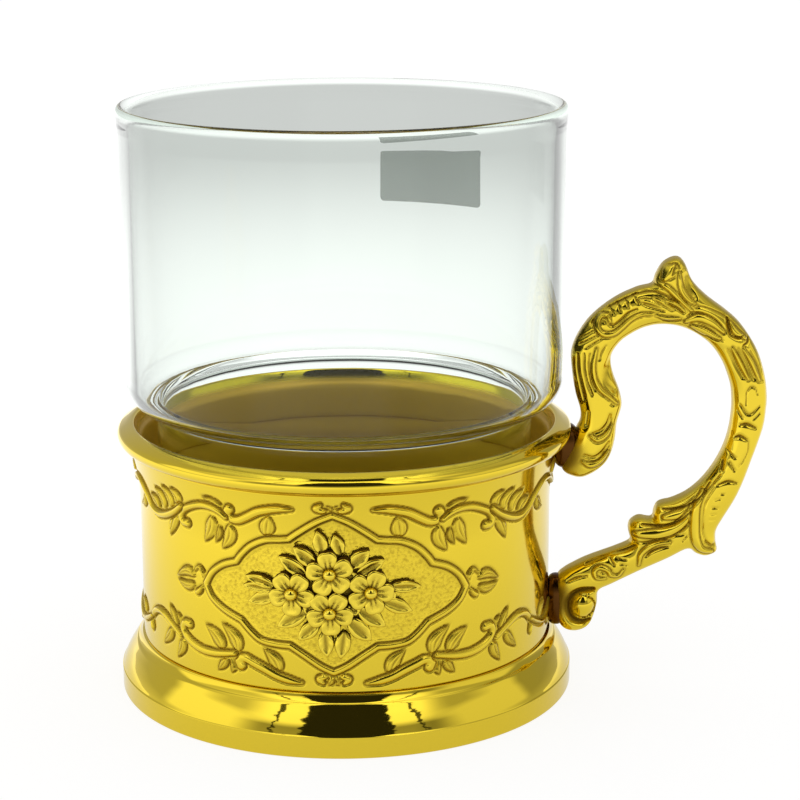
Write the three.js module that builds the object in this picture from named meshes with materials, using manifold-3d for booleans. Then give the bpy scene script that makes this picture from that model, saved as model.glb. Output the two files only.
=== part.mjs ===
// Tea glass holder: an embossed gilt sleeve on a flared foot, with a scrolled handle soldered to its side
// and a stepped tea glass standing in it.
//
// Millimetres, +Z up. The origin is on the cup's axis at the underside of the foot. The handle stands out
// along +X, and the two medallions face -Y and +Y.

import * as THREE from 'three';
import { LoftGeometry } from 'three/addons/geometries/LoftGeometry.js';
import { mergeVertices } from 'three/addons/utils/BufferGeometryUtils.js';
import Module from 'manifold-3d';

// Fits
const seatGap = 0.3;            // between a piece and what it rests on or is soldered to
const fitGap = 0.3;             // between a piece and the one it slips into

// Foot ring and the two discs in it
const footSpread = 3.5;         // how far the foot stands out past the sleeve
const footBandHeight = 3.4;     // upright band at the very bottom
const footHeight = 9.4;         // up to the sleeve's lower edge
const footSwell = 0.35;         // how far the slope between band and cove bulges
const footCoveHeight = 1.8;     // hollow strip between the slope and the sleeve
const footCoveWidth = 0.75;
const footEdgeBevel = 0.3;
const collarHeight = 3;         // spigot that the sleeve slips over
const collarWall = 1.1;
const ledgeHeight = 4.6;        // shelf that carries the floor disc
const ledgeWidth = 2;
const basePlateThickness = 1.2;
const basePlateMargin = 3.7;    // from the foot's edge to the base plate's recess
const floorPlateThickness = 1;

// Sleeve
const sleeveRadius = 31.5;      // outside, where it is straight
const sleeveWall = 0.8;
const sleeveFlare = 1;          // how much the top edge opens out
const sleeveFlareHeight = 8;

// Rolled rim on top of the sleeve
const rimTop = 42;              // above the table
const rimHeight = 4.5;          // of the rim ring without its skirt
const rimOverhang = 3.25;       // from the sleeve's straight wall to the roll's widest point
const rollWidth = 2.8;          // of the rolled edge, seen in section
const rollHeight = 3.4;
const rimNeckSwell = 0.2;       // between the roll and the sleeve
const rimSkirtDepth = 3.5;      // how far the rim's skirt reaches down into the sleeve
const rimSkirtWall = 0.6;

// Stepped tea glass
const glassHeight = 84;         // from its foot to its lip
const glassInset = 1.35;        // its wide upper part stays this far inside the rim
const glassWall = 1.8;
const glassNeckGap = 0.7;       // all round the part that stands in the sleeve
const glassShoulder = 4.3;      // radius of the rounded step between the two parts
const glassShoulderAboveRim = 2.5;
const glassBottom = 4;          // thickness of its floor
const glassFootRound = 2;
const glassBead = 0.45;         // how far the fire-polished lip stands out
const glassBeadHeight = 3;

// Blank label on the back of the glass
const labelWidth = 19;
const labelHeight = 10.4;
const labelThickness = 0.4;
const labelTurn = 23.6;         // degrees from the middle of the back towards the handle
const labelDrop = 15;           // its middle below the glass's lip

// Medallion frame raised on the sleeve, one quarter of it, as distances from the medallion's middle
const medallionHeight = 23.3;   // its middle above the table
const frameTip = 19.7;          // half its length round the sleeve
const frameTop = 12;            // half its height
const sideNotch = [14, 4.4];    // where the tip's arc meets the shoulder's arc
const topNotch = [6.3, 8.1];    // where the shoulder's arc meets the top
const tipBow = 0.3;             // how far each arc bows, as a share of its chord
const shoulderBow = 0.35;
const topBow = -0.06;
const frameWidth = 0.9;
const frameRelief = 0.35;

// Flower spray in each medallion
const sprayHeight = 24.1;       // its middle above the table
const flowerRadius = 3.1;
const flowerThickness = 0.7;
const flowerHeart = 0.85;
const softEdge = 0.2;           // bevel round petals and leaves
const leafLength = 3.8;
const leafWidth = 2;
const leafThickness = 0.5;
const sprayPlate = 0.45;        // thickness of the plate that carries flowers and leaves

// Handle
const handleReach = 29.6;       // from the rim to its outermost point
const handleThickness = 6.6;    // across the handle, along Y
const curlThickness = 5.2;
const ballRadius = 2;
const voluteHeight = 2.4;       // the volute's eye above the foot's top
const voluteReach = 5.2;        // the volute's eye from the sleeve

// Solder lumps between the holder and the handle, as half sizes along X, Y and Z
const upperSolder = [3.4, 2.6, 3.6];
const upperSolderInset = 0.6;   // its middle from the rim's widest point
const upperSolderDrop = 4.6;    // its middle below the rim's top
const lowerSolder = [2.2, 2.4, 4.2];
const lowerSolderReach = 1;     // its middle from the sleeve
const lowerSolderRise = 3.2;    // its middle above the foot's top

// Fineness of the round shapes
const turns = 48;
const sleeveSeam = 0.045;       // turns the sleeve's flats away from the frame's corners, in radians
const sectionSides = 12;
const frameSteps = 5;
const weldDistance = 4e-4;

const footRadius = sleeveRadius + footSpread;
const rimRadius = sleeveRadius + rimOverhang;
const sleeveBottom = footHeight + seatGap;
const rimBottom = rimTop - rimHeight;
const sleeveTop = rimBottom - seatGap;
const collarRadius = sleeveRadius - sleeveWall - fitGap;
const collarBore = collarRadius - collarWall;
const floorTop = ledgeHeight + seatGap + floorPlateThickness;
const glassRadius = rimRadius - glassInset;
const glassNeckRadius = collarBore - glassNeckGap;
const glassFoot = floorTop + seatGap;
const glassTop = glassFoot + glassHeight;

const gilt = { color: 0xd6b43a, roughness: 0.16, metalness: 1 };
const giltFloor = { color: 0xa8892f, roughness: 0.35, metalness: 1 };
const solderTone = { color: 0x6a3f1c, roughness: 0.5, metalness: 0.8 };
const clearGlass = { color: 0xdfe7e2, roughness: 0.03, metalness: 0, transparent: true, opacity: 0.35 };
const greyFilm = { color: 0xb9bdb8, roughness: 0.6, metalness: 0 };

const wasm = await Module();
wasm.setup();

// Solids and meshes

// Vertices closer than the tolerance become one, and triangles that shrink to a line are left out.
function welded(positions, index, tolerance) {
  const bare = new THREE.BufferGeometry();
  bare.setAttribute('position', positions);
  bare.setIndex(index);
  const geometry = mergeVertices(bare, tolerance);
  const corners = geometry.index.array;
  const kept = [];
  for (let i = 0; i < corners.length; i += 3) {
    const [a, b, c] = corners.slice(i, i + 3);
    if (a !== b && b !== c && c !== a) kept.push(a, b, c);
  }
  geometry.setIndex(kept);
  return geometry;
}

function solid(shape) {
  const geometry = welded(shape.attributes.position, shape.index, 1e-4);
  return new wasm.Manifold(new wasm.Mesh({
    numProp: 3,
    vertProperties: new Float32Array(geometry.attributes.position.array),
    triVerts: new Uint32Array(geometry.index.array),
  }));
}

function geometryOf(body) {
  const { vertProperties, triVerts } = body.getMesh();
  const positions = new THREE.BufferAttribute(vertProperties, 3);
  return welded(positions, new THREE.BufferAttribute(triVerts, 1), weldDistance);
}

function joined(bodies) {
  return bodies.reduce((whole, body) => whole.add(body));
}

// A profile of [radius, height] pairs, turned about Z. A ring's profile ends on its first pair.
function turned(profile, start = 0) {
  const points = profile.map(([radius, height]) => new THREE.Vector2(radius, height));
  return solid(new THREE.LatheGeometry(points, turns, start).rotateX(Math.PI / 2));
}

function ring(profile, start) {
  return turned([...profile, profile[0]], start);
}

// Pairs along an ellipse's arc, from one angle to another in degrees, both ends included.
function arc([radius, height], [halfWidth, halfHeight], from, to, steps) {
  return Array.from({ length: steps + 1 }, (_, i) => {
    const angle = THREE.MathUtils.degToRad(from + ((to - from) * i) / steps);
    return [radius + halfWidth * Math.cos(angle), height + halfHeight * Math.sin(angle)];
  });
}

// Foot ring

// The foot's outside, from the table up to the sleeve's lower edge.
function footOutline() {
  const coveFoot = [sleeveRadius + footCoveWidth, footHeight - footCoveHeight];
  const slopeFoot = [footRadius, footBandHeight];
  const slope = [0.25, 0.5, 0.75].map((t) => [
    THREE.MathUtils.lerp(slopeFoot[0], coveFoot[0], t) + 4 * footSwell * t * (1 - t),
    THREE.MathUtils.lerp(slopeFoot[1], coveFoot[1], t) + 2 * footSwell * t * (1 - t),
  ]);
  return [
    [footRadius - footEdgeBevel, 0],
    [footRadius, footEdgeBevel],
    slopeFoot,
    ...slope,
    coveFoot,
    [sleeveRadius + footCoveWidth / 3, footHeight - footCoveHeight / 2],
    [sleeveRadius, footHeight],
  ];
}

function footRing() {
  const recess = footRadius - basePlateMargin;
  const shelf = collarBore - ledgeWidth;
  const recessTop = basePlateThickness + seatGap;
  return ring([
    ...footOutline(),
    [collarRadius, footHeight],
    [collarRadius, footHeight + collarHeight],
    [collarBore, footHeight + collarHeight],
    [collarBore, ledgeHeight],
    [shelf, ledgeHeight],
    [shelf, recessTop],
    [recess, recessTop],
    [recess, 0],
  ]);
}

function disc(radius, bottom, thickness) {
  return turned([[0, bottom], [radius, bottom], [radius, bottom + thickness], [0, bottom + thickness]]);
}

// Sleeve

function sleeveOutside(height) {
  const rise = Math.max(0, (height - sleeveTop + sleeveFlareHeight) / sleeveFlareHeight);
  return sleeveRadius + sleeveFlare * rise * rise;
}

function sleeveOutline() {
  const flareSteps = [0, 0.4, 0.7, 1];
  const flare = flareSteps.map((t) => sleeveTop - sleeveFlareHeight * (1 - t));
  return [sleeveBottom, ...flare].map((height) => [sleeveOutside(height), height]);
}

// A place given as a distance round the sleeve from the front's middle, a height and a radius.
function onSleeve(along, height, radius) {
  const angle = along / sleeveRadius;
  return new THREE.Vector3(radius * Math.sin(angle), -radius * Math.cos(angle), height);
}

// The frame's outline, as distances from the medallion's middle, at a distance outside its centre line.
// Its twelve corners are joined by arcs that bow outwards, apart from the nearly straight ones at the top
// and the bottom.
function frameOutline(path, outset) {
  const right = [[frameTip, 0], sideNotch, topNotch];
  const over = right.toReversed().map(([x, y]) => [-x, y]);
  const upper = [...right, [0, frameTop], ...over.slice(0, -1)];
  const corners = [...upper, ...upper.map(([x, y]) => [-x, -y])].map(([x, y]) => {
    const reach = Math.hypot(x, y);
    return [x * (1 + outset / reach), y * (1 + outset / reach)];
  });
  const bows = [tipBow, shoulderBow, topBow, topBow, shoulderBow, tipBow];
  path.moveTo(...corners[0]);
  corners.forEach(([x, y], i) => {
    const [nextX, nextY] = corners[(i + 1) % corners.length];
    const bow = bows[i % bows.length];
    const control = [(x + nextX) / 2 + bow * (nextY - y), (y + nextY) / 2 - bow * (nextX - x)];
    path.quadraticCurveTo(...control, nextX, nextY);
  });
  return path;
}

// The raised frame: a low band along the outline, rooted in the sleeve's wall.
function medallionFrame() {
  const shape = frameOutline(new THREE.Shape(), frameWidth / 2);
  shape.holes.push(frameOutline(new THREE.Path(), -frameWidth / 2));
  const root = sleeveWall / 2;
  const depth = frameRelief + root;
  const band = new THREE.ExtrudeGeometry(shape, { depth, bevelEnabled: false, curveSegments: frameSteps });
  const places = band.attributes.position;
  for (let i = 0; i < places.count; i += 1) {
    const height = medallionHeight + places.getY(i);
    const spot = onSleeve(places.getX(i), height, sleeveOutside(height) - root + places.getZ(i));
    places.setXYZ(i, spot.x, spot.y, spot.z);
  }
  return solid(band);
}

function sleeve() {
  const outside = sleeveOutline();
  const inside = outside.map(([radius, height]) => [radius - sleeveWall, height]).reverse();
  const front = medallionFrame();
  return joined([ring([...outside, ...inside], sleeveSeam), front, front.rotate([0, 0, 180])]);
}

// Rolled rim

function rimOutline() {
  const rollMiddle = [rimRadius - rollWidth / 2, rimTop - rollHeight / 2];
  const neck = sleeveOutside(sleeveTop);
  return [
    [neck, rimBottom],
    [neck + rimNeckSwell, (rimBottom + rimTop - rollHeight) / 2],
    ...arc(rollMiddle, [rollWidth / 2, rollHeight / 2], -75, 165, 10),
  ];
}

function topRim() {
  const skirtTop = sleeveOutside(sleeveTop) - sleeveWall - fitGap;
  const skirtFoot = sleeveOutside(sleeveTop - rimSkirtDepth) - sleeveWall - fitGap;
  return ring([
    ...rimOutline(),
    [rimRadius - rollWidth, rimBottom + seatGap],
    [skirtTop - rimSkirtWall, rimBottom - seatGap],
    [skirtFoot - rimSkirtWall, rimBottom - rimSkirtDepth],
    [skirtFoot, rimBottom - rimSkirtDepth],
    [skirtTop, rimBottom - seatGap],
    [skirtTop, rimBottom],
  ]);
}

// Flower sprays

// A flat cut-out with softened edges, its back on the plane z = 0.
function cutOut(shape, thickness, steps) {
  return new THREE.ExtrudeGeometry(shape, {
    depth: thickness - softEdge,
    curveSegments: steps,
    bevelEnabled: true,
    bevelThickness: softEdge,
    bevelSize: softEdge,
    bevelOffset: -softEdge,
    bevelSegments: 1,
  });
}

function flower(radius) {
  const petals = 5;
  const shape = new THREE.Shape();
  const place = (turn, reach) => [reach * Math.sin(turn), reach * Math.cos(turn)];
  const step = (2 * Math.PI) / petals;
  shape.moveTo(...place(-step / 2, radius * 0.62));
  for (let petal = 0; petal < petals; petal += 1) {
    const turn = petal * step;
    shape.bezierCurveTo(
      ...place(turn - step * 0.45, radius * 1.2),
      ...place(turn + step * 0.45, radius * 1.2),
      ...place(turn + step / 2, radius * 0.62),
    );
  }
  const heart = new THREE.SphereGeometry(flowerHeart, 8, 5);
  heart.translate(0, 0, flowerThickness);
  return solid(cutOut(shape, flowerThickness, 4)).add(solid(heart));
}

function leaf() {
  const shape = new THREE.Shape();
  shape.moveTo(0, 0);
  shape.quadraticCurveTo(leafWidth, leafLength / 2, 0, leafLength);
  shape.quadraticCurveTo(-leafWidth, leafLength / 2, 0, 0);
  return solid(cutOut(shape, leafThickness, 2));
}

// Sets a cut-out on the sleeve: turned in its own plane, then laid against the wall.
function laidOn(body, along, height, turn) {
  const base = sleeveRadius + seatGap;
  const spot = onSleeve(along, height, base);
  const swing = THREE.MathUtils.radToDeg(along / sleeveRadius);
  return body.rotate([0, 0, turn]).rotate([90, 0, 0]).rotate([0, 0, swing]).translate(spot.toArray());
}

function sprayBacking(halfWidth, halfHeight) {
  const shape = new THREE.Shape();
  shape.absellipse(0, 0, halfWidth, halfHeight, 0, 2 * Math.PI);
  const plain = { depth: footRadius, bevelEnabled: false, curveSegments: 14 };
  const beam = new THREE.ExtrudeGeometry(shape, plain);
  const pillar = solid(beam.rotateX(Math.PI / 2).translate(0, 0, sprayHeight));
  const inner = sleeveRadius + seatGap;
  const [low, high] = [sprayHeight - halfHeight - seatGap, sprayHeight + halfHeight + seatGap];
  const outer = inner + sprayPlate;
  return ring([[inner, low], [outer, low], [outer, high], [inner, high]]).intersect(pillar);
}

// Places in a spray are distances from its middle, in flower radii, here for its right half.
const sprayFlowers = [[0, 1.03], [1.87, 0], [0, -1.03]];
const sprayLeaves = [
  [0.2, 1.74, -18], [0.77, 1.03, -52], [1.42, 0.52, -42], [2.58, 0.13, -82],
  [2.45, -0.32, -105], [1.35, -0.77, -132], [0.71, -1.35, -140], [0.16, -1.77, -163],
];

function flowerSpray() {
  const oneFlower = flower(flowerRadius);
  const oneLeaf = leaf();
  const set = (body, [x, y, turn]) => laidOn(body, x * flowerRadius, sprayHeight + y * flowerRadius, turn);
  return joined([
    sprayBacking(flowerRadius * 2.64, flowerRadius * 1.87),
    ...sprayFlowers.map(([x, y]) => set(oneFlower, [x, y, 0])),
    ...sprayFlowers.filter(([x]) => x > 0).map(([x, y]) => set(oneFlower, [-x, y, 0])),
    ...sprayLeaves.map(([x, y, turn]) => set(oneLeaf, [x, y, turn])),
    ...sprayLeaves.map(([x, y, turn]) => set(oneLeaf, [-x, y, -turn])),
  ]).subtract(disc(sleeveRadius + seatGap, 0, rimBottom));
}

// Handle

// Places on the handle's middle plane: how far out, how far up, and half the bar's width, each in
// hundredths of the handle's reach. Those by the rim follow the rim, and those by the foot the foot.
function placed(radius, height, shares) {
  const [out, up, half] = shares.map((share) => (share * handleReach) / 100);
  return { x: radius + out, z: height + up, half };
}

const byRim = (...shares) => placed(rimRadius, rimTop, shares);
const byFoot = (...shares) => placed(sleeveRadius, footHeight, shares);

const mainBar = [
  byRim(7.8, -21.3, 10.5),
  byRim(13.5, -5.1, 9.5),
  byRim(13.5, 10.1, 11.1),
  byRim(9.8, 27, 10.1),
  byRim(12.8, 42.6, 9.5),
  byRim(22, 52.7, 9.5),
  byRim(35.1, 58.8, 9.8),
  byRim(50.3, 59.5, 10.1),
  byRim(62.8, 55.4, 9.8),
  byRim(75.7, 45.9, 9.5),
  byRim(85.1, 32.8, 9.5),
  byRim(90.2, 16.6, 9.6),
  byRim(89.9, -0.7, 9.1),
  byRim(85.5, -17.9, 9.1),
  byFoot(89.5, 76.7, 9.1),
  byFoot(83.8, 62.8, 8.4),
  byFoot(80.7, 50.7, 6.8),
  byFoot(81.1, 41.9, 5.7),
];
const lowerArm = [
  byFoot(81.1, 50.7, 6.8),
  byFoot(67.6, 43.9, 8.1),
  byFoot(52.4, 37.5, 8.4),
  byFoot(37.8, 31.4, 8.8),
  byFoot(24.3, 25.7, 8.4),
  byFoot(14.2, 18.9, 6.4),
  byFoot(9.8, 10.1, 4.7),
  byFoot(11.8, 1.4, 4.1),
  byFoot(18.9, -2.4, 3.7),
];
const upperLeaf = [
  byFoot(86.1, 74.3, 5.4),
  byFoot(75, 65.2, 6.1),
  byFoot(64.9, 60.1, 6.1),
  byFoot(59.5, 59.1, 5.7),
];
const lowerLeaf = [
  byFoot(82.8, 59.1, 5.1),
  byFoot(69.3, 52.7, 6.1),
  byFoot(57.4, 49.3, 6.4),
  byFoot(48, 49.7, 6.4),
];
const thumbLeaf = [
  byRim(69.6, 54.7, 7.4),
  byRim(58.8, 62.8, 8.4),
  byRim(51.7, 71.6, 7.4),
  byRim(51.4, 78.4, 5.4),
];

// A bar of rounded section that swells and narrows along a smooth line, with rounded ends.
function scrollBar(stations, thickness, steps, grow) {
  const places = stations.map(({ x, z }) => new THREE.Vector3(x, 0, z));
  const line = new THREE.CatmullRomCurve3(places, false, 'centripetal');
  const swell = new THREE.CatmullRomCurve3(stations.map(({ half }, i) => new THREE.Vector3(half, i, 0)));
  const squareness = 2 / 2.6;
  const soft = (value) => Math.sign(value) * Math.abs(value) ** squareness;
  const endSteps = [0.12, 0.5, 0.87];
  const along = [
    ...endSteps.map((size) => ({ t: 0, size })),
    ...Array.from({ length: steps + 1 }, (_, i) => ({ t: i / steps, size: 1 })),
    ...endSteps.map((size) => ({ t: 1, size })).reverse(),
  ];
  const sections = along.map(({ t, size }) => {
    const middle = line.getPoint(t);
    const ahead = line.getTangent(t);
    const across = new THREE.Vector3(ahead.z, 0, -ahead.x);
    const half = swell.getPoint(t).x + grow;
    const roundEnd = Math.sqrt(1 - size * size) * half * (t < 0.5 ? -1 : 1);
    return Array.from({ length: sectionSides }, (_, i) => {
      const turn = (2 * Math.PI * i) / sectionSides;
      const point = middle.clone().addScaledVector(ahead, size < 1 ? roundEnd : 0);
      point.addScaledVector(across, half * size * soft(Math.cos(turn)));
      point.y += (thickness / 2 + grow) * size * soft(Math.sin(turn));
      return point;
    });
  });
  return solid(new LoftGeometry(sections, { capStart: true, capEnd: true }));
}

function handleBody(grow) {
  const eye = { x: sleeveRadius + voluteReach, z: footHeight + voluteHeight };
  const ball = new THREE.SphereGeometry(ballRadius + grow, 16, 12);
  ball.scale(1, 1.6, 1).translate(eye.x, 0, eye.z);
  const web = new THREE.CylinderGeometry(ballRadius * 1.4, ballRadius * 1.4, curlThickness / 2, 18);
  web.translate(eye.x - ballRadius * 0.4, 0, eye.z);
  return joined([
    scrollBar(mainBar, handleThickness, 38, grow),
    scrollBar(lowerArm, handleThickness * 0.9, 20, grow),
    scrollBar(upperLeaf, curlThickness, 6, grow),
    scrollBar(lowerLeaf, curlThickness, 6, grow),
    scrollBar(thumbLeaf, curlThickness, 6, grow),
    solid(web),
    solid(ball),
  ]);
}

// Solder between the holder and the handle: a lump cut to the shape of what it joins.
function solderJoint(middle, reach, cutter) {
  const lump = new THREE.SphereGeometry(1, 14, 10).scale(...reach).translate(middle.x, 0, middle.z);
  const lumps = solid(lump).subtract(cutter).decompose();
  return lumps.sort((a, b) => b.volume() - a.volume())[0];
}

// The holder's outside as one turned block, larger all round by the seat gap.
function holderBlock() {
  const outside = [...footOutline(), ...sleeveOutline(), ...rimOutline()];
  const outline = outside.map(([radius, height]) => [radius + seatGap, height]);
  return turned([[0, 0], ...outline, [0, outline.at(-1)[1]]]);
}

// Tea glass

function teaGlass() {
  const shoulderFoot = rimTop + glassShoulderAboveRim;
  const turn = [glassRadius - glassShoulder, shoulderFoot + glassShoulder];
  const bore = glassNeckRadius - glassWall;
  const beadHalf = (glassWall + glassBead) / 2;
  const beadMiddle = [glassRadius + glassBead - beadHalf, glassTop - glassBeadHeight / 2];
  const innerTurn = glassShoulder - glassWall;
  return turned([
    [0, glassFoot],
    [glassNeckRadius - glassFootRound, glassFoot],
    [glassNeckRadius - glassFootRound * 0.3, glassFoot + glassFootRound * 0.3],
    [glassNeckRadius, glassFoot + glassFootRound],
    [glassNeckRadius, shoulderFoot],
    ...arc(turn, [glassShoulder, glassShoulder], -90, 0, 6),
    [glassRadius, glassTop - glassBeadHeight],
    ...arc(beadMiddle, [beadHalf, glassBeadHeight / 2], -30, 150, 6),
    [glassRadius - glassWall, glassTop - glassBeadHeight],
    ...arc(turn, [innerTurn, innerTurn], 0, -90, 4),
    [bore, shoulderFoot + glassWall * 0.6],
    [bore, glassFoot + glassBottom + glassFootRound],
    [bore - glassFootRound, glassFoot + glassBottom],
    [0, glassFoot + glassBottom],
  ]);
}

// A blank label: a thin patch that lies round the back of the glass.
function glassLabel() {
  const inner = glassRadius + seatGap;
  const half = labelWidth / 2 / glassRadius;
  const middle = Math.PI / 2 - THREE.MathUtils.degToRad(labelTurn);
  const patch = new THREE.Shape();
  patch.absarc(0, 0, inner + labelThickness, middle - half, middle + half);
  patch.absarc(0, 0, inner, middle + half, middle - half, true);
  const plain = { depth: labelHeight, bevelEnabled: false, curveSegments: 10 };
  const strip = new THREE.ExtrudeGeometry(patch, plain);
  return solid(strip.translate(0, 0, glassTop - labelDrop - labelHeight / 2));
}

// Assembly

const holder = new THREE.Group();

function addPart(name, body, finish) {
  const part = new THREE.Mesh(geometryOf(body), new THREE.MeshStandardMaterial(finish));
  part.name = name;
  holder.add(part);
}

const spray = flowerSpray();
const around = holderBlock().add(handleBody(seatGap));
const upperJoint = { x: rimRadius - upperSolderInset, z: rimTop - upperSolderDrop };
const lowerJoint = { x: sleeveRadius + lowerSolderReach, z: footHeight + lowerSolderRise };

addPart('foot_ring', footRing(), gilt);
addPart('base_plate', disc(footRadius - basePlateMargin - fitGap, 0, basePlateThickness), giltFloor);
addPart('floor_plate', disc(collarBore - fitGap, ledgeHeight + seatGap, floorPlateThickness), giltFloor);
addPart('sleeve', sleeve(), gilt);
addPart('top_rim', topRim(), gilt);
addPart('front_flower_spray', spray, gilt);
addPart('rear_flower_spray', spray.rotate([0, 0, 180]), gilt);
addPart('handle', handleBody(0), gilt);
addPart('upper_solder_joint', solderJoint(upperJoint, upperSolder, around), solderTone);
addPart('lower_solder_joint', solderJoint(lowerJoint, lowerSolder, around), solderTone);
addPart('tea_glass', teaGlass(), clearGlass);
addPart('glass_label', glassLabel(), greyFilm);

export default holder;
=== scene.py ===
# %% [markdown]
# # A gilt tea glass holder
#
# The object is a small cup of embossed gilt brass with a cast, scrolled handle soldered to its side. A
# clear glass with a stepped foot stands in it. We build each visible piece in turn, in millimetres, and
# bring it to metres as the last thing we do to its mesh.

# %% Load the frame
import math

import bmesh
import bpy
import numpy as np
from mathutils import Matrix, Vector


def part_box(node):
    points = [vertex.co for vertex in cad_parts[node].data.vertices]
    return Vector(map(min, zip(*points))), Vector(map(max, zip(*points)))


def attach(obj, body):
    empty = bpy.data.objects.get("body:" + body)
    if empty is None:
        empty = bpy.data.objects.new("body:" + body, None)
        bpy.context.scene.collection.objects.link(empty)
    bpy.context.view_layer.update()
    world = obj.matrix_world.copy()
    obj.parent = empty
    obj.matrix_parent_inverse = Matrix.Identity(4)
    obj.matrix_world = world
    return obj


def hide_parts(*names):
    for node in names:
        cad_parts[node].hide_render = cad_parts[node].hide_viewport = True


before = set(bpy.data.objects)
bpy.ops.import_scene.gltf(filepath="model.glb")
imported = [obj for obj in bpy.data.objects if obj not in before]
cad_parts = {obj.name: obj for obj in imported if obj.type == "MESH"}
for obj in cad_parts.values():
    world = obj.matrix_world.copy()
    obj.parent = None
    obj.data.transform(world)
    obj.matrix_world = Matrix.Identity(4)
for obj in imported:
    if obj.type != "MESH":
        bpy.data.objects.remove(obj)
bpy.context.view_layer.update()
scene = bpy.context.scene
print("nodes:", ", ".join(sorted(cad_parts)))

# %% [markdown]
# ## Sizes
#
# These repeat the solid model's sizes, in millimetres. Everything round shares one axis, so a turned
# piece needs only radii and heights.

# %% Sizes
SLEEVE_RADIUS = 31.5
SLEEVE_WALL = 0.8
SLEEVE_BOTTOM = 8.85
SLEEVE_TOP = 38.6
SLEEVE_FLARE = 1.0
SLEEVE_FLARE_HEIGHT = 8.0
SLEEVE_FLARE_START = 29.2
MEDALLION_HEIGHT = 23.3
SPRAY_HEIGHT = 24.1

# %% [markdown]
# ## Helpers for meshes
#
# A turned piece starts as a chain of points beside the axis. Where two straight runs meet, a small arc
# takes their place, with a point just before and just after it: those extra points keep the long faces
# flat under smooth shading, which polished metal needs.

# %% Profiles
def fillet(corners, steps=6, hold=0.12):
    """A closed chain of (radius, height) from rows of (radius, height, size of the corner's arc)."""
    corners = np.array(corners, float)
    chain = []
    for before, here, after in zip(np.roll(corners, 1, 0), corners, np.roll(corners, -1, 0)):
        size = here[2]
        if size == 0:
            chain.append(here[:2])
            continue
        back, ahead = before[:2] - here[:2], after[:2] - here[:2]
        reach_back, reach_ahead = np.hypot(*back), np.hypot(*ahead)
        back, ahead = back / reach_back, ahead / reach_ahead
        half = math.acos(np.clip(back @ ahead, -1, 1)) / 2
        cut = min(size / math.tan(half), 0.48 * reach_back, 0.48 * reach_ahead)
        middle = here[:2] + (back + ahead) / np.hypot(*(back + ahead)) * cut / math.cos(half)
        first, last = here[:2] + back * cut, here[:2] + ahead * cut
        if reach_back > 2 * cut + 2 * hold:
            chain.append(first + back * hold)
        start = math.atan2(*(first - middle)[::-1])
        sweep = (math.atan2(*(last - middle)[::-1]) - start + math.pi) % (2 * math.pi) - math.pi
        radius = np.hypot(*(first - middle))
        for i in range(steps + 1):
            angle = start + sweep * i / steps
            chain.append(middle + radius * np.array([math.cos(angle), math.sin(angle)]))
        if reach_ahead > 2 * cut + 2 * hold:
            chain.append(last + ahead * hold)
    return np.array(chain)


def oval(middle, half, start, end, steps):
    """Points on an upright ellipse, as (radius, height), between two angles in degrees."""
    angles = np.radians(np.linspace(start, end, steps + 1))
    return np.c_[middle[0] + half[0] * np.cos(angles), middle[1] + half[1] * np.sin(angles)]


# %% Smooth lines
def smooth_line(rows, steps=8):
    """A smooth line through rows of numbers: two for the place and, where it has one, the half width."""
    rows = np.array(rows, float)
    ends = np.vstack([2 * rows[0] - rows[1], rows, 2 * rows[-1] - rows[-2]])
    t = np.linspace(0, 1, steps, endpoint=False)[:, None]
    runs = [
        0.5 * (2 * b + (c - a) * t + (2 * a - 5 * b + 4 * c - d) * t**2 + (3 * b - a - 3 * c + d) * t**3)
        for a, b, c, d in zip(ends, ends[1:], ends[2:], ends[3:])
    ]
    return np.vstack([*runs, rows[-1:]])


# %% Turning and finishing
def turned(chain, steps=18, cuts=15, angle=2 * math.pi, start=0.0, closed=True):
    """A bmesh spun about Z from a chain of (radius, height). Each step is then cut into finer ones."""
    bm = bmesh.new()
    verts = [bm.verts.new((r * math.cos(start), r * math.sin(start), z)) for r, z in chain]
    pairs = zip(verts, verts[1:] + verts[:1] if closed else verts[1:])
    edges = [bm.edges.new(pair) for pair in pairs]
    whole = angle == 2 * math.pi
    bmesh.ops.spin(
        bm, geom=verts + edges, cent=(0, 0, 0), axis=(0, 0, 1), angle=angle, steps=steps, use_merge=whole
    )
    bmesh.ops.remove_doubles(bm, verts=bm.verts, dist=1e-4)
    hoops = [e for e in bm.edges if abs(e.verts[0].co.z - e.verts[1].co.z) < 1e-5 and hoop_span(e) > 0.5]
    bmesh.ops.subdivide_edges(bm, edges=hoops, cuts=cuts, use_grid_fill=True)
    # The new points lie on straight edges, so each is moved out to the circle.
    half = angle / steps / 2
    for vert in bm.verts:
        turn = (math.atan2(vert.co.y, vert.co.x) - start) % (2 * half) - half
        grow = math.cos(turn) / math.cos(half)
        vert.co.x *= grow
        vert.co.y *= grow
    return bm


def hoop_span(edge):
    """How many degrees of the way round the axis an edge spans."""
    a, b = (v.co.xy for v in edge.verts)
    if a.length < 1e-3 or b.length < 1e-3:
        return 0
    return math.degrees(abs(math.asin(max(-1, min(1, a.cross(b) / a.length / b.length)))))


def new_object(name, data):
    """Puts an object with this data in the scene. A bmesh becomes a mesh first."""
    if isinstance(data, bmesh.types.BMesh):
        mesh = bpy.data.meshes.new(name)
        data.to_mesh(mesh)
        data.free()
        data = mesh
    made = bpy.data.objects.new(name, data)
    scene.collection.objects.link(made)
    return made


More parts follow.
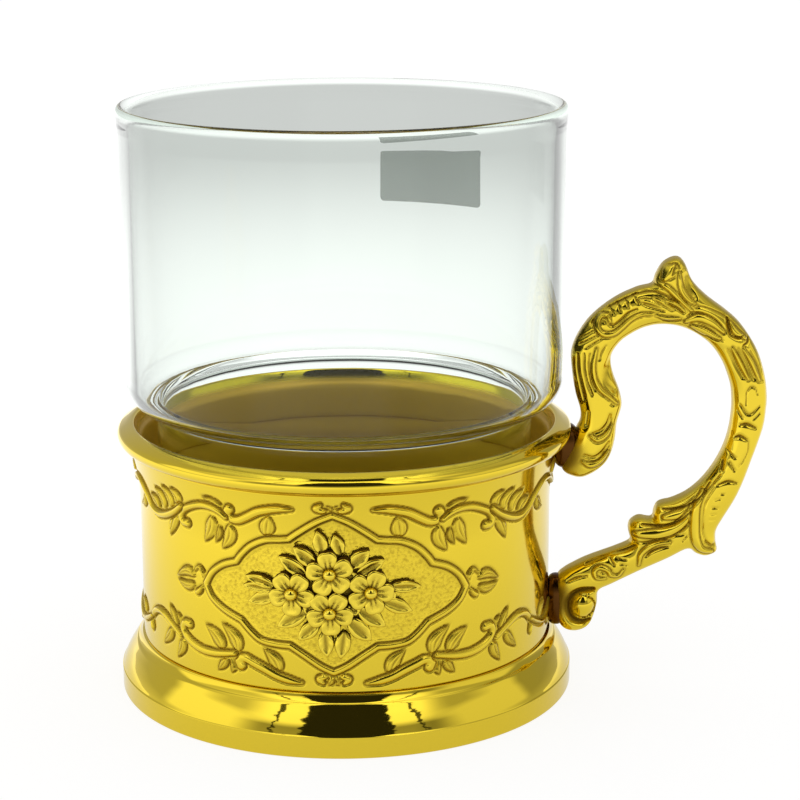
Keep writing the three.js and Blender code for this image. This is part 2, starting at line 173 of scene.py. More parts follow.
def piece(name, bm, stands_for, body="holder"):
    """Turns a bmesh in millimetres into a finished object in metres that rides on a body."""
    bmesh.ops.recalc_face_normals(bm, faces=bm.faces)
    bmesh.ops.scale(bm, vec=(0.001, 0.001, 0.001), verts=bm.verts)
    made = new_object(name, bm)
    mesh = made.data
    mesh.polygons.foreach_set("use_smooth", np.ones(len(mesh.polygons), bool))
    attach(made, body)
    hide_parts(*stands_for)
    mesh.calc_loop_triangles()
    print(f"{name}: {len(mesh.loop_triangles)} triangles")
    return made


def mesh_places(mesh):
    """A mesh's vertices as rows of x, y and z in millimetres."""
    flat = np.empty(len(mesh.vertices) * 3, np.float32)
    mesh.vertices.foreach_get("co", flat)
    return flat.reshape(-1, 3).astype(float) * 1000


def move_places(mesh, places):
    mesh.vertices.foreach_set("co", (places / 1000).astype(np.float32).ravel())
    mesh.update()


def keep_share(mesh, name, values):
    """Stores one number per vertex, which a material can read by that name."""
    layer = mesh.attributes.new(name, "FLOAT", "POINT")
    layer.data.foreach_set("value", np.clip(values, 0, 1).astype(np.float32))


def soft_step(value, low, high):
    """0 below `low`, 1 above `high`, with an easy change between them."""
    t = np.clip((value - low) / (high - low), 0, 1)
    return t * t * (3 - 2 * t)


# %% [markdown]
# ## Foot ring
#
# The foot is spun sheet: an upright band that stands on the table, a bulging slope above it, a crease and
# a narrow bead where it meets the sleeve. One chain of points turned about the axis gives all of it, and
# inside it keeps the ledge that carries the floor.

# %% Foot ring
SLOPE = [(34.83, 3.5), (34.62, 4.05), (34.3, 4.75), (33.92, 5.45), (33.5, 6.15), (33.03, 6.85), (32.74, 7.28)]
COVE = [(32.6, 7.44), (32.42, 7.57), (32.26, 7.74), (32.06, 8.02), (31.9, 8.32), (31.8, 8.6)]
slope, cove = (smooth_line([(*p, 0) for p in rows], 4) for rows in (SLOPE, COVE))
band = [(35.0, 0.0, 0.35), (35.0, 3.3, 0.1), (34.86, 3.42, 0)]
under_sleeve = [
    (31.74, 8.66, 0), (30.4, 8.66, 0.05), (30.4, 12.4, 0.2), (29.3, 12.4, 0.2), (29.3, 4.6, 0.1),
    (27.3, 4.6, 0.1), (27.3, 1.5, 0.1), (31.3, 1.5, 0.1), (31.3, 0.0, 0.2),
]
foot_chain = fillet(np.vstack([band, slope, cove, under_sleeve]))
foot = piece("foot", turned(foot_chain), stands_for=["foot_ring"])

# %% [markdown]
# ## Rolled rim
#
# The rim is the sheet's edge rolled outwards into a soft bead, with a narrow step and a groove below it.
# Its skirt reaches down into the sleeve.

# %% Rolled rim
lower_roll = oval((33.05, 40.3), (1.68, 1.48), -86, -5, 12)
upper_roll = oval((33.68, 40.3), (1.05, 1.05), 0, 58, 10)
rim_inside = smooth_line(
    [(33.8, 41.44), (33.3, 41.7), (32.8, 41.9), (32.45, 41.97), (32.2, 41.85), (32.0, 41.4), (31.82, 40.9),
     (31.62, 40.35), (31.4, 39.95), (31.1, 39.6), (30.92, 39.2), (30.84, 38.6), (30.78, 37.0), (30.72, 34.2)],
    4,
)
skirt = [(30.78, 34.0), (31.2, 34.0), (31.28, 34.15), (31.3, 36.2), (31.4, 37.3), (31.6, 38.0), (32.0, 38.7)]
rim_chain = np.vstack([[(32.15, 38.86), (32.9, 38.84)], lower_roll, upper_roll, rim_inside, skirt])
rim = piece("rim", turned(rim_chain), stands_for=["top_rim"])
rim_places = mesh_places(rim.data)
rim_reach = np.hypot(rim_places[:, 0], rim_places[:, 1])
keep_share(rim.data, "inside", soft_step(41.2 - rim_places[:, 2], 0, 1.2) * (rim_reach < 31.95))

# %% [markdown]
# ## Lines on the metal
#
# The ornament is drawn with lines: a frame round each medallion, vines with scrolled ends, leaves and
# buds. Each line is a few places with a half width, joined by a smooth curve. How high the metal stands
# then depends only on how far a point is from the line, so numpy can work it out for a whole mesh.

# %% Distances
def nearest(line, places):
    """For each place: its distance from the line, its share of the way along, and the half width there."""
    start, run = line[:-1], np.diff(line, axis=0)
    found = []
    for part in np.array_split(places, max(1, len(places) * len(run) // 2_000_000)):
        gaps = part[:, None, :] - start[None, :, :2]
        t = np.clip((gaps * run[:, :2]).sum(2) / np.maximum((run[:, :2] ** 2).sum(1), 1e-9), 0, 1)
        apart = gaps - t[..., None] * run[:, :2]
        distance = np.hypot(apart[..., 0], apart[..., 1])
        best = distance.argmin(1)
        rows = np.arange(len(part))
        t = t[rows, best]
        found.append(np.c_[distance[rows, best], (best + t) / len(run), start[best, 2] + t * run[best, 2]])
    return np.vstack(found).T


# %% [markdown]
# A stem is a round-backed ridge with a crease on both sides. A leaf is a pointed one with a vein along its
# middle and a finer line on each side of it. A line laid later covers what is under it, creases and all, as
# a die would cut it. Each point also keeps how deep in a crease it is, as the share of painted shade that
# the material darkens it with.

# %% Ridges, leaves and cuts
class Relief:
    """How far the metal stands out at each place, and how much shade is painted on it."""

    def __init__(self, places):
        self.places = places
        self.height = np.zeros(len(places))
        self.hollow = np.zeros(len(places))

    def about(self, line, reach):
        """The places near a line, and what `nearest` says of them."""
        low, high = line[:, :2].min(0) - reach, line[:, :2].max(0) + reach
        near = np.flatnonzero(((self.places > low) & (self.places < high)).all(1))
        return near, *nearest(line, self.places[near])

    def lay(self, rows, rise, crease, width, flat, tone, vein=0.0):
        """A ridge with a crease `width` wide on both sides, or a leaf if it has a vein."""
        line = smooth_line(rows)
        near, distance, share, half = self.about(line, line[:, 2].max() + 4 * width)
        if vein:
            half = 1.15 * half * np.clip(np.sin(np.pi * share**0.8), 0.02, 1) ** 0.8
        size = np.minimum(1, half / 0.35)
        back = np.clip(1 - (distance / np.maximum(half, 1e-3)) ** 2, 0, 1) ** flat
        groove = np.exp(-(((distance - half) / width) ** 2)) * size
        slit = np.exp(-((distance / (0.8 * width)) ** 2)) * np.sin(np.pi * np.clip(share, 0, 1)) * size
        if vein:
            slit = slit + 0.55 * np.exp(-(((distance - 0.55 * half) / (0.6 * width)) ** 2)) * size
        shape = rise * size * back - crease * groove - vein * slit
        # Painted shade: the creases and the vein are darkened in colour.
        dark = tone * groove + (0.7 * tone * slit if vein else 0)
        cover = soft_step(half + 2.6 * width - distance, 0, 1.3 * width)
        self.height[near] += cover * (shape - self.height[near])
        self.hollow[near] += cover * (dark - self.hollow[near])

    def cut(self, rows, depth, tone):
        """A carved groove with soft sides."""
        line = smooth_line(rows)
        near, distance, _, half = self.about(line, line[:, 2].max() * 3)
        groove = np.exp(-((distance / np.maximum(half, 1e-3)) ** 2))
        self.height[near] -= depth * groove
        # Painted shade in the groove.
        self.hollow[near] = np.maximum(self.hollow[near], tone * groove**2)


# %% [markdown]
# ## Sleeve
#
# The sleeve is thin sheet with the ornament pressed into it. It is made as two half shells that meet under
# the handle and opposite it, each fine enough to carry the creases, because a line of ornament is only
# about a quarter of a millimetre wide.

# %% The ornament's lines, for the right half of a medallion
FRAME_UPPER = [
    [(20.2, -0.2), (18.95, 1.8), (17.0, 3.3), (14.6, 4.2)],
    [(14.6, 4.2), (13.7, 5.4), (12.15, 6.85), (9.9, 7.95), (7.7, 8.25), (6.35, 8.4)],
    [(6.35, 8.4), (4.43, 9.8), (2.28, 11.2), (0.0, 12.25)],
]
FRAME_LOWER = [
    [(20.2, -0.2), (19.0, -2.05), (16.85, -3.45), (13.9, -4.6)],
    [(13.9, -4.6), (12.3, -6.15), (10.75, -7.2), (8.6, -7.55), (6.3, -7.6)],
    [(6.3, -7.6), (4.41, -8.8), (1.86, -10.5), (0.0, -11.4)],
]
UPPER_VINE = {
    "stem": [
        [(5.6, 13.0, 0.3), (7.6, 12.95, 0.62), (9.4, 12.6, 0.7), (10.9, 12.1, 0.72), (12.5, 11.2, 0.72),
         (14.0, 10.5, 0.7), (15.2, 10.6, 0.68), (15.8, 11.3, 0.72), (15.3, 12.0, 0.82)],
        [(16.0, 10.6, 0.42), (17.0, 11.3, 0.52), (18.5, 11.8, 0.56), (20.4, 11.8, 0.58), (22.4, 11.2, 0.6),
         (24.3, 10.2, 0.6), (25.0, 9.1, 0.6), (24.6, 8.3, 0.62), (23.7, 8.3, 0.72)],
        [(24.8, 10.7, 0.45), (26.7, 9.4, 0.55), (29.4, 8.25, 0.62), (31.8, 7.9, 0.62), (34.0, 8.5, 0.6),
         (35.6, 9.9, 0.55), (38.6, 11.5, 0.5), (42.0, 11.2, 0.5), (46.0, 9.4, 0.5), (49.5, 8.8, 0.5)],
    ],
    "leaf": [
        [(15.9, 11.6, 0.5), (17.8, 12.6, 0.62), (20.2, 13.4, 0.5)],
        [(15.4, 9.8, 0.8), (15.6, 7.7, 0.95), (17.0, 5.6, 0.8)],
        [(18.4, 10.6, 0.75), (18.9, 8.4, 0.95), (20.3, 6.0, 0.7)],
        [(17.2, 9.4, 0.4), (17.4, 7.8, 0.5), (18.3, 6.2, 0.4)],
        [(25.6, 9.9, 0.75), (27.1, 7.7, 0.9), (28.2, 5.2, 0.7)],
        [(25.6, 10.4, 0.8), (25.4, 12.0, 0.85), (27.1, 13.3, 0.6)],
        [(27.1, 9.8, 0.8), (27.5, 11.6, 0.85), (29.4, 13.2, 0.6)],
        [(28.9, 9.2, 0.75), (29.7, 11.0, 0.8), (31.9, 12.3, 0.6)],
        [(30.6, 8.8, 0.6), (31.9, 9.9, 0.7), (34.0, 10.7, 0.5)],
        [(36.2, 9.6, 0.6), (37.6, 8.2, 0.75), (39.6, 7.2, 0.6)],
        [(43.5, 10.8, 0.6), (44.6, 12.2, 0.65), (46.6, 13.2, 0.5)],
        [(9.6, 8.4, 0.95), (9.4, 10.2, 1.05), (9.0, 12.0, 0.9)],
    ],
}
LOWER_VINE = {
    "stem": [
        [(4.6, -13.1, 0.3), (6.6, -12.8, 0.66), (8.4, -12.3, 0.72), (10.2, -11.5, 0.76), (12.0, -10.8, 0.76),
         (13.4, -10.3, 0.76), (14.4, -10.7, 0.78), (14.1, -11.5, 0.85)],
        [(15.2, -9.9, 0.5), (18.4, -10.5, 0.62), (20.9, -10.6, 0.68), (23.2, -10.1, 0.7),
         (24.8, -9.2, 0.68), (25.4, -8.2, 0.66), (24.9, -7.3, 0.7), (23.9, -7.3, 0.74)],
        [(26.0, -9.5, 0.45), (28.7, -8.2, 0.52), (31.4, -7.4, 0.58), (33.8, -7.9, 0.6), (35.5, -9.5, 0.6),
         (35.4, -11.0, 0.65)],
        [(35.4, -9.2, 0.4), (38.0, -10.4, 0.5), (41.0, -11.2, 0.5), (45.0, -10.6, 0.5), (49.5, -9.8, 0.5)],
    ],
    "leaf": [
        [(14.4, -9.9, 0.8), (15.1, -7.5, 0.98), (17.5, -5.4, 0.7)],
        [(16.9, -10.0, 0.8), (18.3, -7.9, 0.95), (20.6, -6.2, 0.7)],
        [(15.3, -10.2, 0.5), (15.3, -11.8, 0.62), (15.8, -13.2, 0.5)],
        [(16.3, -10.3, 0.5), (17.2, -11.9, 0.65), (18.4, -13.2, 0.5)],
        [(25.6, -9.0, 0.5), (26.3, -7.2, 0.6), (27.2, -5.9, 0.45)],
        [(26.7, -8.8, 0.55), (27.8, -7.0, 0.7), (29.1, -5.1, 0.5)],
        [(25.4, -9.4, 0.65), (25.8, -11.4, 0.78), (27.2, -13.5, 0.6)],
        [(28.0, -8.8, 0.6), (29.2, -10.5, 0.75), (31.2, -12.4, 0.6)],
        [(38.4, -10.2, 0.6), (39.6, -8.8, 0.7), (41.6, -7.8, 0.6)],
        [(43.2, -11.4, 0.6), (44.8, -12.4, 0.6), (46.6, -12.8, 0.5)],
        [(7.8, -12.1, 0.8), (8.7, -10.0, 0.95), (10.5, -8.2, 0.75)],
    ],
}
TIP_BUD = {
    "stem": [
        [(22.4, 1.4, 0.24), (21.6, 2.1, 0.3), (20.9, 1.6, 0.34), (20.5, 0.8, 0.4)],
        [(21.0, -0.9, 0.3), (21.5, -1.5, 0.5), (21.9, -1.8, 0.55)],
    ],
    "leaf": [
        [(22.2, 0.5, 0.6), (24.2, 0.9, 0.72), (26.9, -0.5, 0.6)],
        [(22.2, -0.7, 0.6), (24.2, -1.3, 0.68), (26.7, -0.7, 0.6)],
    ],
}
FINIALS = {
    "stem": [
        [(1.2, 12.9, 0.55), (2.2, 13.35, 0.6), (1.6, 13.9, 0.35)],
        [(1.3, -12.0, 0.5), (2.1, -12.45, 0.6), (1.5, -13.0, 0.35)],
    ],
    "leaf": [
        [(0.3, 12.4, 0.6), (0.45, 13.2, 0.62), (0.2, 14.0, 0.5)],
        [(0.2, -12.0, 0.5), (0.55, -12.8, 0.55), (0.9, -13.5, 0.5)],
    ],
}
PRESSED = {
    "leaf": {"rise": 0.42, "crease": 0.2, "width": 0.17, "flat": 0.6, "tone": 0.8, "vein": 0.2},
    "stem": {"rise": 0.46, "crease": 0.24, "width": 0.17, "flat": 0.6, "tone": 0.8},
}
FRAME_HALF = 0.55
FRAME_RISE = 0.36
FRAME_CREASE = 0.16
GROUND_DEPTH = 0.16


# %% Height of the sleeve's metal
def mirrored(rows):
    return [(-x, *rest) for x, *rest in rows]


def frame_line():
    """The medallion's frame as one closed line with sharp corners."""
    right = [smooth_line([(*p, 0) for p in run]) for run in FRAME_UPPER]
    below = [smooth_line([(*p, 0) for p in run])[::-1] for run in FRAME_LOWER][::-1]
    half = np.vstack([*below, *right])
    other = half[::-1] * (-1, 1, 1)
    return np.vstack([half, other[1:]])


def inside(line, places):
    """True for each place inside the closed line."""
    x, y = places.T
    count = np.zeros(len(places), int)
    for (ax, ay, _), (bx, by, _) in zip(line, line[1:]):
        if ay == by:
            continue
        crosses = (ay > y) != (by > y)
        count += crosses & (x < (bx - ax) * (y - ay) / (by - ay) + ax)
    return count % 2 == 1


def sleeve_relief(along, up):
    """Height, painted shade and share of the ground at each place: the vines first, then the frame over them.
    """
    relief = Relief(np.c_[along, up])
    for group in (UPPER_VINE, LOWER_VINE, TIP_BUD, FINIALS):
        for kind, form in PRESSED.items():
            for rows in group[kind]:
                relief.lay(rows, **form)
                relief.lay(mirrored(rows), **form)
    outline = frame_line()
    ground = inside(outline, relief.places)
    relief.height[ground] = 0
    relief.hollow[ground] = 0
    near = np.flatnonzero((np.abs(along) < 22) & (np.abs(up) < 14))
    distance = nearest(outline, relief.places[near])[0]
    back = np.clip(1 - (distance / FRAME_HALF) ** 2, 0, 1) ** 0.6
    groove = np.exp(-(((distance - FRAME_HALF) / 0.16) ** 2))
    level = np.where(ground[near], -GROUND_DEPTH * soft_step(distance, FRAME_HALF, FRAME_HALF + 0.6), 0)
    shape = FRAME_RISE * back - FRAME_CREASE * groove + level
    cover = np.where(ground[near], 1, soft_step(FRAME_HALF + 0.45 - distance, 0, 0.2))
    relief.height[near] += cover * (shape - relief.height[near])
    # Painted shade in the frame's creases.
    relief.hollow[near] += cover * (0.9 * groove - relief.hollow[near])
    field = np.zeros(len(along))
    field[near] = np.where(ground[near], soft_step(distance, FRAME_HALF + 0.1, FRAME_HALF + 0.7), 0)
    return relief.height, relief.hollow, field


# %% Half shells
def sleeve_outside(height):
    rise = np.maximum(height - SLEEVE_FLARE_START, 0) / SLEEVE_FLARE_HEIGHT
    return SLEEVE_RADIUS + SLEEVE_FLARE * rise**2


def sleeve_half(name):
    """Half the sleeve, with a medallion in its middle, on the side that faces -Y."""
    heights = np.linspace(SLEEVE_BOTTOM, SLEEVE_TOP, 160)
    outer = np.c_[sleeve_outside(heights), heights]
    inner = [(sleeve_outside(h) - SLEEVE_WALL, h) for h in (SLEEVE_TOP, 34.5, 32.0, 29.5, SLEEVE_BOTTOM)]
    bm = turned(np.vstack([outer, inner]), 29, 19, math.pi, -math.pi)
    bmesh.ops.edgeloop_fill(bm, edges=[e for e in bm.edges if e.is_boundary])
    half = piece(name, bm, stands_for=["sleeve"])
    places = mesh_places(half.data)
    radius = np.hypot(places[:, 0], places[:, 1])
    face = radius > sleeve_outside(places[:, 2]) - 0.01
    along = np.arctan2(places[face, 0], -places[face, 1]) * SLEEVE_RADIUS
    height, hollow, field = sleeve_relief(along, places[face, 2] - MEDALLION_HEIGHT)
    from_edge = np.minimum(places[face, 2] - SLEEVE_BOTTOM, SLEEVE_TOP - places[face, 2])
    places[face, :2] *= (1 + height * soft_step(from_edge, 0, 0.5) / radius[face])[:, None]
    move_places(half.data, places)
    for label, values in (("hollow", hollow), ("ground", field)):
        whole = np.zeros(len(places))
        whole[face] = values
        keep_share(half.data, label, whole)
    keep_share(half.data, "inside", ~face)
    print(f"{name}: relief from {height.min():.2f} to {height.max():.2f} mm")
    return half


def other_side(made, name, node_name):
    """The same piece again, turned half round the axis."""
    mesh = made.data.copy()
    mesh.name = name
    turned_copy = new_object(name, mesh)
    move_places(mesh, mesh_places(mesh) * (-1, -1, 1))
    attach(turned_copy, "holder")
    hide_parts(node_name)
    return turned_copy


sleeve_front = sleeve_half("sleeve_front")
sleeve_rear = other_side(sleeve_front, "sleeve_rear", "sleeve")

# %% [markdown]
# ## Flower sprays
#
# Each medallion holds a spray of four flowers with leaves round it, cast in one and soldered on. A petal is
# a ball drawn out into a cup with a raised rim and folds near the flower's heart, and a leaf is one drawn to
# a point, with raised edges and a valley. All are laid out flat, and then bent round the sleeve together.
# Each
# point also keeps a tone of painted shade: in the folds, the valleys, near each heart and low down by the
# sleeve.

# %% Petals and leaves
def moulded(bm, segments, rings, shape):
    """Adds a ball whose points are moved by shape(x, y, z), which can give a row of painted shade tones too.
    """
    made = bmesh.ops.create_uvsphere(bm, u_segments=segments, v_segments=rings, radius=1)["verts"]
    tones = bm.verts.layers.float.get("hollow")
    places = np.array([v.co for v in made])
    for vert, (*place, tone) in zip(made, np.vstack([shape(*places.T), np.zeros(len(made))])[:4].T):
        vert.co = place
        if tones:
            vert[tones] = tone


def petal(bm, middle, turn, base, lift, size=1.0):
    """A broad cupped petal that points along `turn`, measured clockwise from straight up."""
    cos, sin = math.cos(math.radians(turn)), math.sin(math.radians(turn))

    def shape(a, b, c):
        far = (b + 1) / 2
        across = 1.5 * size * a * (0.7 + 0.34 * far)
        out = size * (0.5 + 2.75 * far - 0.16 * np.exp(-((a / 0.3) ** 2)) * far**3)
        bowl = a**2 + ((far - 0.58) / 0.42) ** 2
        cup = 0.5 + 0.34 * soft_step(far, 0.0, 0.55) + 0.42 * np.minimum(bowl, 1.2) - 0.18
        folds = 0.26 * (np.exp(-(((a - 0.24) / 0.09) ** 2)) + np.exp(-(((a + 0.24) / 0.09) ** 2)))
        folds = folds * (1 - soft_step(far, 0.35, 0.75))
        edge = np.clip(np.abs(c), 0, 1) ** 0.45
        z = np.where(c > 0, base + lift * edge * (cup - folds), 0.1 * c)
        # Painted shade: in the folds, near the heart, on the petal's low sides and in the middle of its bowl.
        tone = 2.4 * folds + 0.6 * (1 - soft_step(far, 0.05, 0.34)) + 1.0 * (1 - soft_step(c, 0.16, 0.4))
        shade = 0.22 * (1 - np.minimum(bowl, 1)) * (1 - far)
        x, y = middle[0] + across * cos + out * sin, middle[1] + out * cos - across * sin
        return np.array([x, y, z, np.clip(tone + shade, 0, 0.95)])

    moulded(bm, 28, 18, shape)


def sprig_leaf(bm, root, tip, width, base, lift):
    """A pointed leaf with raised edges and a valley along its middle."""
    root, tip = np.array(root, float), np.array(tip, float)
    run = 1.08 * (tip - root)
    length = np.hypot(*run)
    ahead = run / length

    def shape(a, b, c):
        # The ball is already narrow at its poles, so this only makes the far end pointed.
        pointed = np.where(b > 0, (1 - b) / np.sqrt(np.maximum(1 - b**2, 1e-4)) * (1 + 0.75 * b), 1)
        across = 1.1 * a * width * np.minimum(pointed, 1.0)
        out = (b + 1) * length / 2
        side = np.abs(a) / np.sqrt(np.maximum(1 - b**2, 1e-3))
        valley = 0.55 * np.exp(-((side / 0.42) ** 2)) * soft_step(1 - b, 0.1, 0.7)
        ribs = 0.06 * np.sin(8 * (1.4 * b - side)) * soft_step(side, 0.2, 0.5)
        z = np.where(c > 0, base + lift * np.abs(c) ** 0.4 * (1 - valley + ribs), 0.1 * c)
        x = root[0] + ahead[0] * out - ahead[1] * across
        y = root[1] + ahead[1] * out + ahead[0] * across
        # Painted shade in the valley and on the leaf's low sides.
        tone = 1.2 * valley**1.5 + 0.9 * (1 - soft_step(c, 0.14, 0.36))
        return np.array([x, y, z + 0.1 * (b + 1) * lift * (c > 0), np.clip(tone, 0, 0.9)])

    moulded(bm, 24, 18, shape)


# %% One spray, laid out flat
FLOWERS = [
    ((-0.4, 3.0), -8, 0.75),
    ((-5.8, -0.2), -38, 0.55),
    ((5.2, 0.15), -50, 0.6),
    ((-0.45, -2.85), -40, 0.65),
]
EXTRA_PETALS = [((7.4, -0.35), 100, 0.45)]
SPRAY_LEAVES = [
    ((-1.3, 5.6), (-2.1, 9.0), 1.0), ((1.1, 5.5), (0.3, 8.5), 0.95),
    ((-2.3, 3.9), (-5.3, 6.5), 1.05), ((2.3, 3.8), (5.0, 6.1), 1.1),
    ((-3.5, 2.3), (-7.4, 5.0), 1.05), ((3.4, 2.6), (7.0, 4.7), 1.0),
    ((-8.4, 0.6), (-12.5, 1.7), 0.8), ((-8.6, 0.1), (-12.9, 0.3), 0.75), ((-8.2, -0.8), (-12.1, -2.0), 1.0),
    ((8.0, 0.6), (12.3, 0.4), 0.85), ((7.0, -1.4), (11.0, -3.1), 1.05),
    ((-3.8, -2.8), (-7.7, -5.3), 1.15), ((-2.1, -4.5), (-4.8, -7.0), 1.05),
    ((3.6, -2.4), (7.1, -5.0), 1.2), ((2.2, -4.0), (5.1, -7.0), 1.25),
    ((-1.2, -5.8), (-0.9, -9.4), 1.05), ((1.6, -5.8), (1.0, -9.6), 1.05),
    ((-3.2, 1.4), (-2.6, 3.6), 1.1), ((2.8, 1.2), (2.2, 3.2), 1.1),
    ((-3.0, -1.4), (-3.6, -3.2), 1.1), ((2.6, -1.4), (3.2, -3.2), 1.1),
]


def flower_spray(name, node_name):
    bm = bmesh.new()
    tones = bm.verts.layers.float.new("hollow")
    for (x, y), turn, base in FLOWERS:
        for i in range(5):
            petal(bm, (x, y), turn + 72 * i, base + 0.12 * (i % 2), 0.95, 1.06)
        moulded(bm, 24, 16, lambda a, b, c: np.array([x + 0.9 * a, y + 0.9 * b, base + 0.7 + 0.95 * c]))
    for at, turn, size in EXTRA_PETALS:
        petal(bm, at, turn, 0.6, 0.8, size)
    for root, tip, width in SPRAY_LEAVES:
        sprig_leaf(bm, root, tip, width, 0.15, 0.75)
    # A low backing under the flowers, which the rule below paints dark: painted shade between them.
    moulded(bm, 48, 12, lambda a, b, c: np.array([7.4 * a, 4.8 * b, 0.34 * c]))
    # Painted shade on everything low down by the sleeve, under and between the flowers and leaves.
    for vert in bm.verts:
        vert[tones] = max(vert[tones], 0.8 * (1 - soft_step(vert.co.z, 0.2, 0.7)))
    made = piece(name, bm, stands_for=[node_name])
    places = mesh_places(made.data)
    turn = places[:, 0] / SLEEVE_RADIUS
    radius = SLEEVE_RADIUS + places[:, 2]
    bent = np.c_[radius * np.sin(turn), -radius * np.cos(turn), places[:, 1] + SPRAY_HEIGHT]
    move_places(made.data, bent)
    print(f"{name}: stands {radius.max() - SLEEVE_RADIUS:.2f} mm off the sleeve")
    return made


front_spray = flower_spray("spray_front", "front_flower_spray")
rear_spray = other_side(front_spray, "spray_rear", "rear_flower_spray")

# %% [markdown]
# ## Handle
#
# The handle is one flat casting with leaves and scrolls on both broad faces. We draw its outline, give it
# thickness, and let a voxel remesh fill it with even cells. Each cell's distance from the outline then
# says how thick the casting is there, which rounds its edges, and the carving follows as on the sleeve.

# %% The handle's outline, as (reach from the axis, height)
HANDLE_OUTLINE = [
    (33.2, 35.0), (33.6, 37.0), (34.9, 38.6), (35.5, 40.2), (36.1, 41.6), (36.0, 43.4), (35.2, 46.1),
    (34.6, 50.0), (34.6, 52.6), (35.8, 55.4), (37.8, 58.0), (41.0, 60.5), (44.3, 62.1), (46.5, 62.7),
    (46.9, 63.9), (47.9, 65.7), (49.2, 66.6), (50.4, 66.75), (51.4, 65.7), (52.5, 63.2), (54.7, 60.9),
    (57.9, 58.5), (60.1, 56.4), (62.4, 52.9), (63.7, 49.2), (64.25, 45.5), (64.0, 41.5), (63.3, 38.7),
    (62.2, 35.3), (61.1, 32.0), (59.9, 29.2), (58.2, 26.2), (57.2, 24.2), (57.2, 22.2), (57.4, 20.9),
    (55.7, 20.1), (54.1, 20.5), (52.9, 21.2), (49.8, 19.6), (45.6, 17.6), (41.3, 15.4), (39.3, 14.3),
    (39.1, 12.3), (38.5, 9.9), (37.6, 8.4), (36.0, 7.7), (34.3, 7.9), (33.2, 9.0), (32.6, 11.0),
    (32.5, 14.0), (32.9, 16.4), (34.0, 17.5), (35.5, 18.4), (37.7, 19.5), (41.6, 21.0), (43.8, 22.0),
    (44.1, 22.6), (43.7, 24.0), (43.9, 25.2), (45.2, 26.1), (46.8, 25.9), (47.5, 26.0), (47.5, 26.9),
    (48.0, 28.1), (48.9, 28.6), (50.2, 28.9), (52.6, 30.1), (54.9, 32.2), (57.0, 35.3), (58.4, 38.8),
    (59.0, 42.6), (58.9, 46.2), (58.2, 48.8), (57.1, 51.3), (55.4, 53.6), (53.1, 55.3), (50.7, 56.3),
    (47.9, 56.6), (45.4, 56.1), (43.3, 55.0), (41.9, 53.9), (40.7, 52.2), (40.5, 50.6), (41.0, 48.5),
    (41.9, 46.2), (42.3, 44.2), (42.0, 42.7), (41.6, 41.2), (41.3, 38.3), (40.5, 35.7), (39.0, 33.9),
    (36.6, 32.6), (34.8, 32.8), (33.5, 33.6),
]


def closed_line(points, steps=5):
    rows = np.c_[np.array(points, float), np.zeros(len(points))]
    around = np.vstack([rows[-2:], rows, rows[:3]])
    return smooth_line(around, steps)[2 * steps : -2 * steps]


def evened(bm, voxel):
    """A new bmesh over the outside of this one, in even cells."""
    blank = new_object("blank", bm)
    remesh = blank.modifiers.new("cells", "REMESH")
    remesh.mode = "VOXEL"
    remesh.voxel_size = voxel
    made = bpy.data.meshes.new_from_object(blank.evaluated_get(bpy.context.evaluated_depsgraph_get()))
    bpy.data.objects.remove(blank)
    bm = bmesh.new()
    bm.from_mesh(made)
    bpy.data.meshes.remove(made)
    return bm


def bmesh_places(bm):
    return np.array([v.co for v in bm.verts])


def set_places(bm, places):
    for vert, place in zip(bm.verts, places):
        vert.co = place


# %% The blank of the casting
EDGE_HALF = 0.95
FACE_HALF = 2.85
EDGE_ROUND = 2.3
COARSE_CELL = 0.26
FINE_CELL = 0.19


def face_half(depth):
    """Half the casting's thickness, `depth` inside its outline."""
    rise = 1 - (1 - np.clip(depth / EDGE_ROUND, 0, 1)) ** 2.2
    return EDGE_HALF + (FACE_HALF - EDGE_HALF) * np.sqrt(rise)


def handle_blank():
    line = closed_line(HANDLE_OUTLINE)
    bm = bmesh.new()
    verts = [bm.verts.new((x, -1, z)) for x, z, _ in line[:-1]]
    face = bm.faces.new(verts)
    made = bmesh.ops.extrude_face_region(bm, geom=[face])["geom"]
    bmesh.ops.translate(bm, verts=[g for g in made if isinstance(g, bmesh.types.BMVert)], vec=(0, 2, 0))
    bmesh.ops.triangulate(bm, faces=bm.faces)
    bmesh.ops.recalc_face_normals(bm, faces=bm.faces)
    bm = evened(bm, COARSE_CELL)
    places = bmesh_places(bm)
    depth = nearest(line, places[:, (0, 2)])[0]
    places[:, 1] *= face_half(depth)
    set_places(bm, places)
    bm = evened(bm, FINE_CELL)
    axes = {"use_axis_x": True, "use_axis_y": True, "use_axis_z": True}
    for _ in range(4):
        bmesh.ops.smooth_vert(bm, verts=bm.verts, factor=0.5, **axes)
    print("handle blank:", len(bm.verts), "points")
    return bm


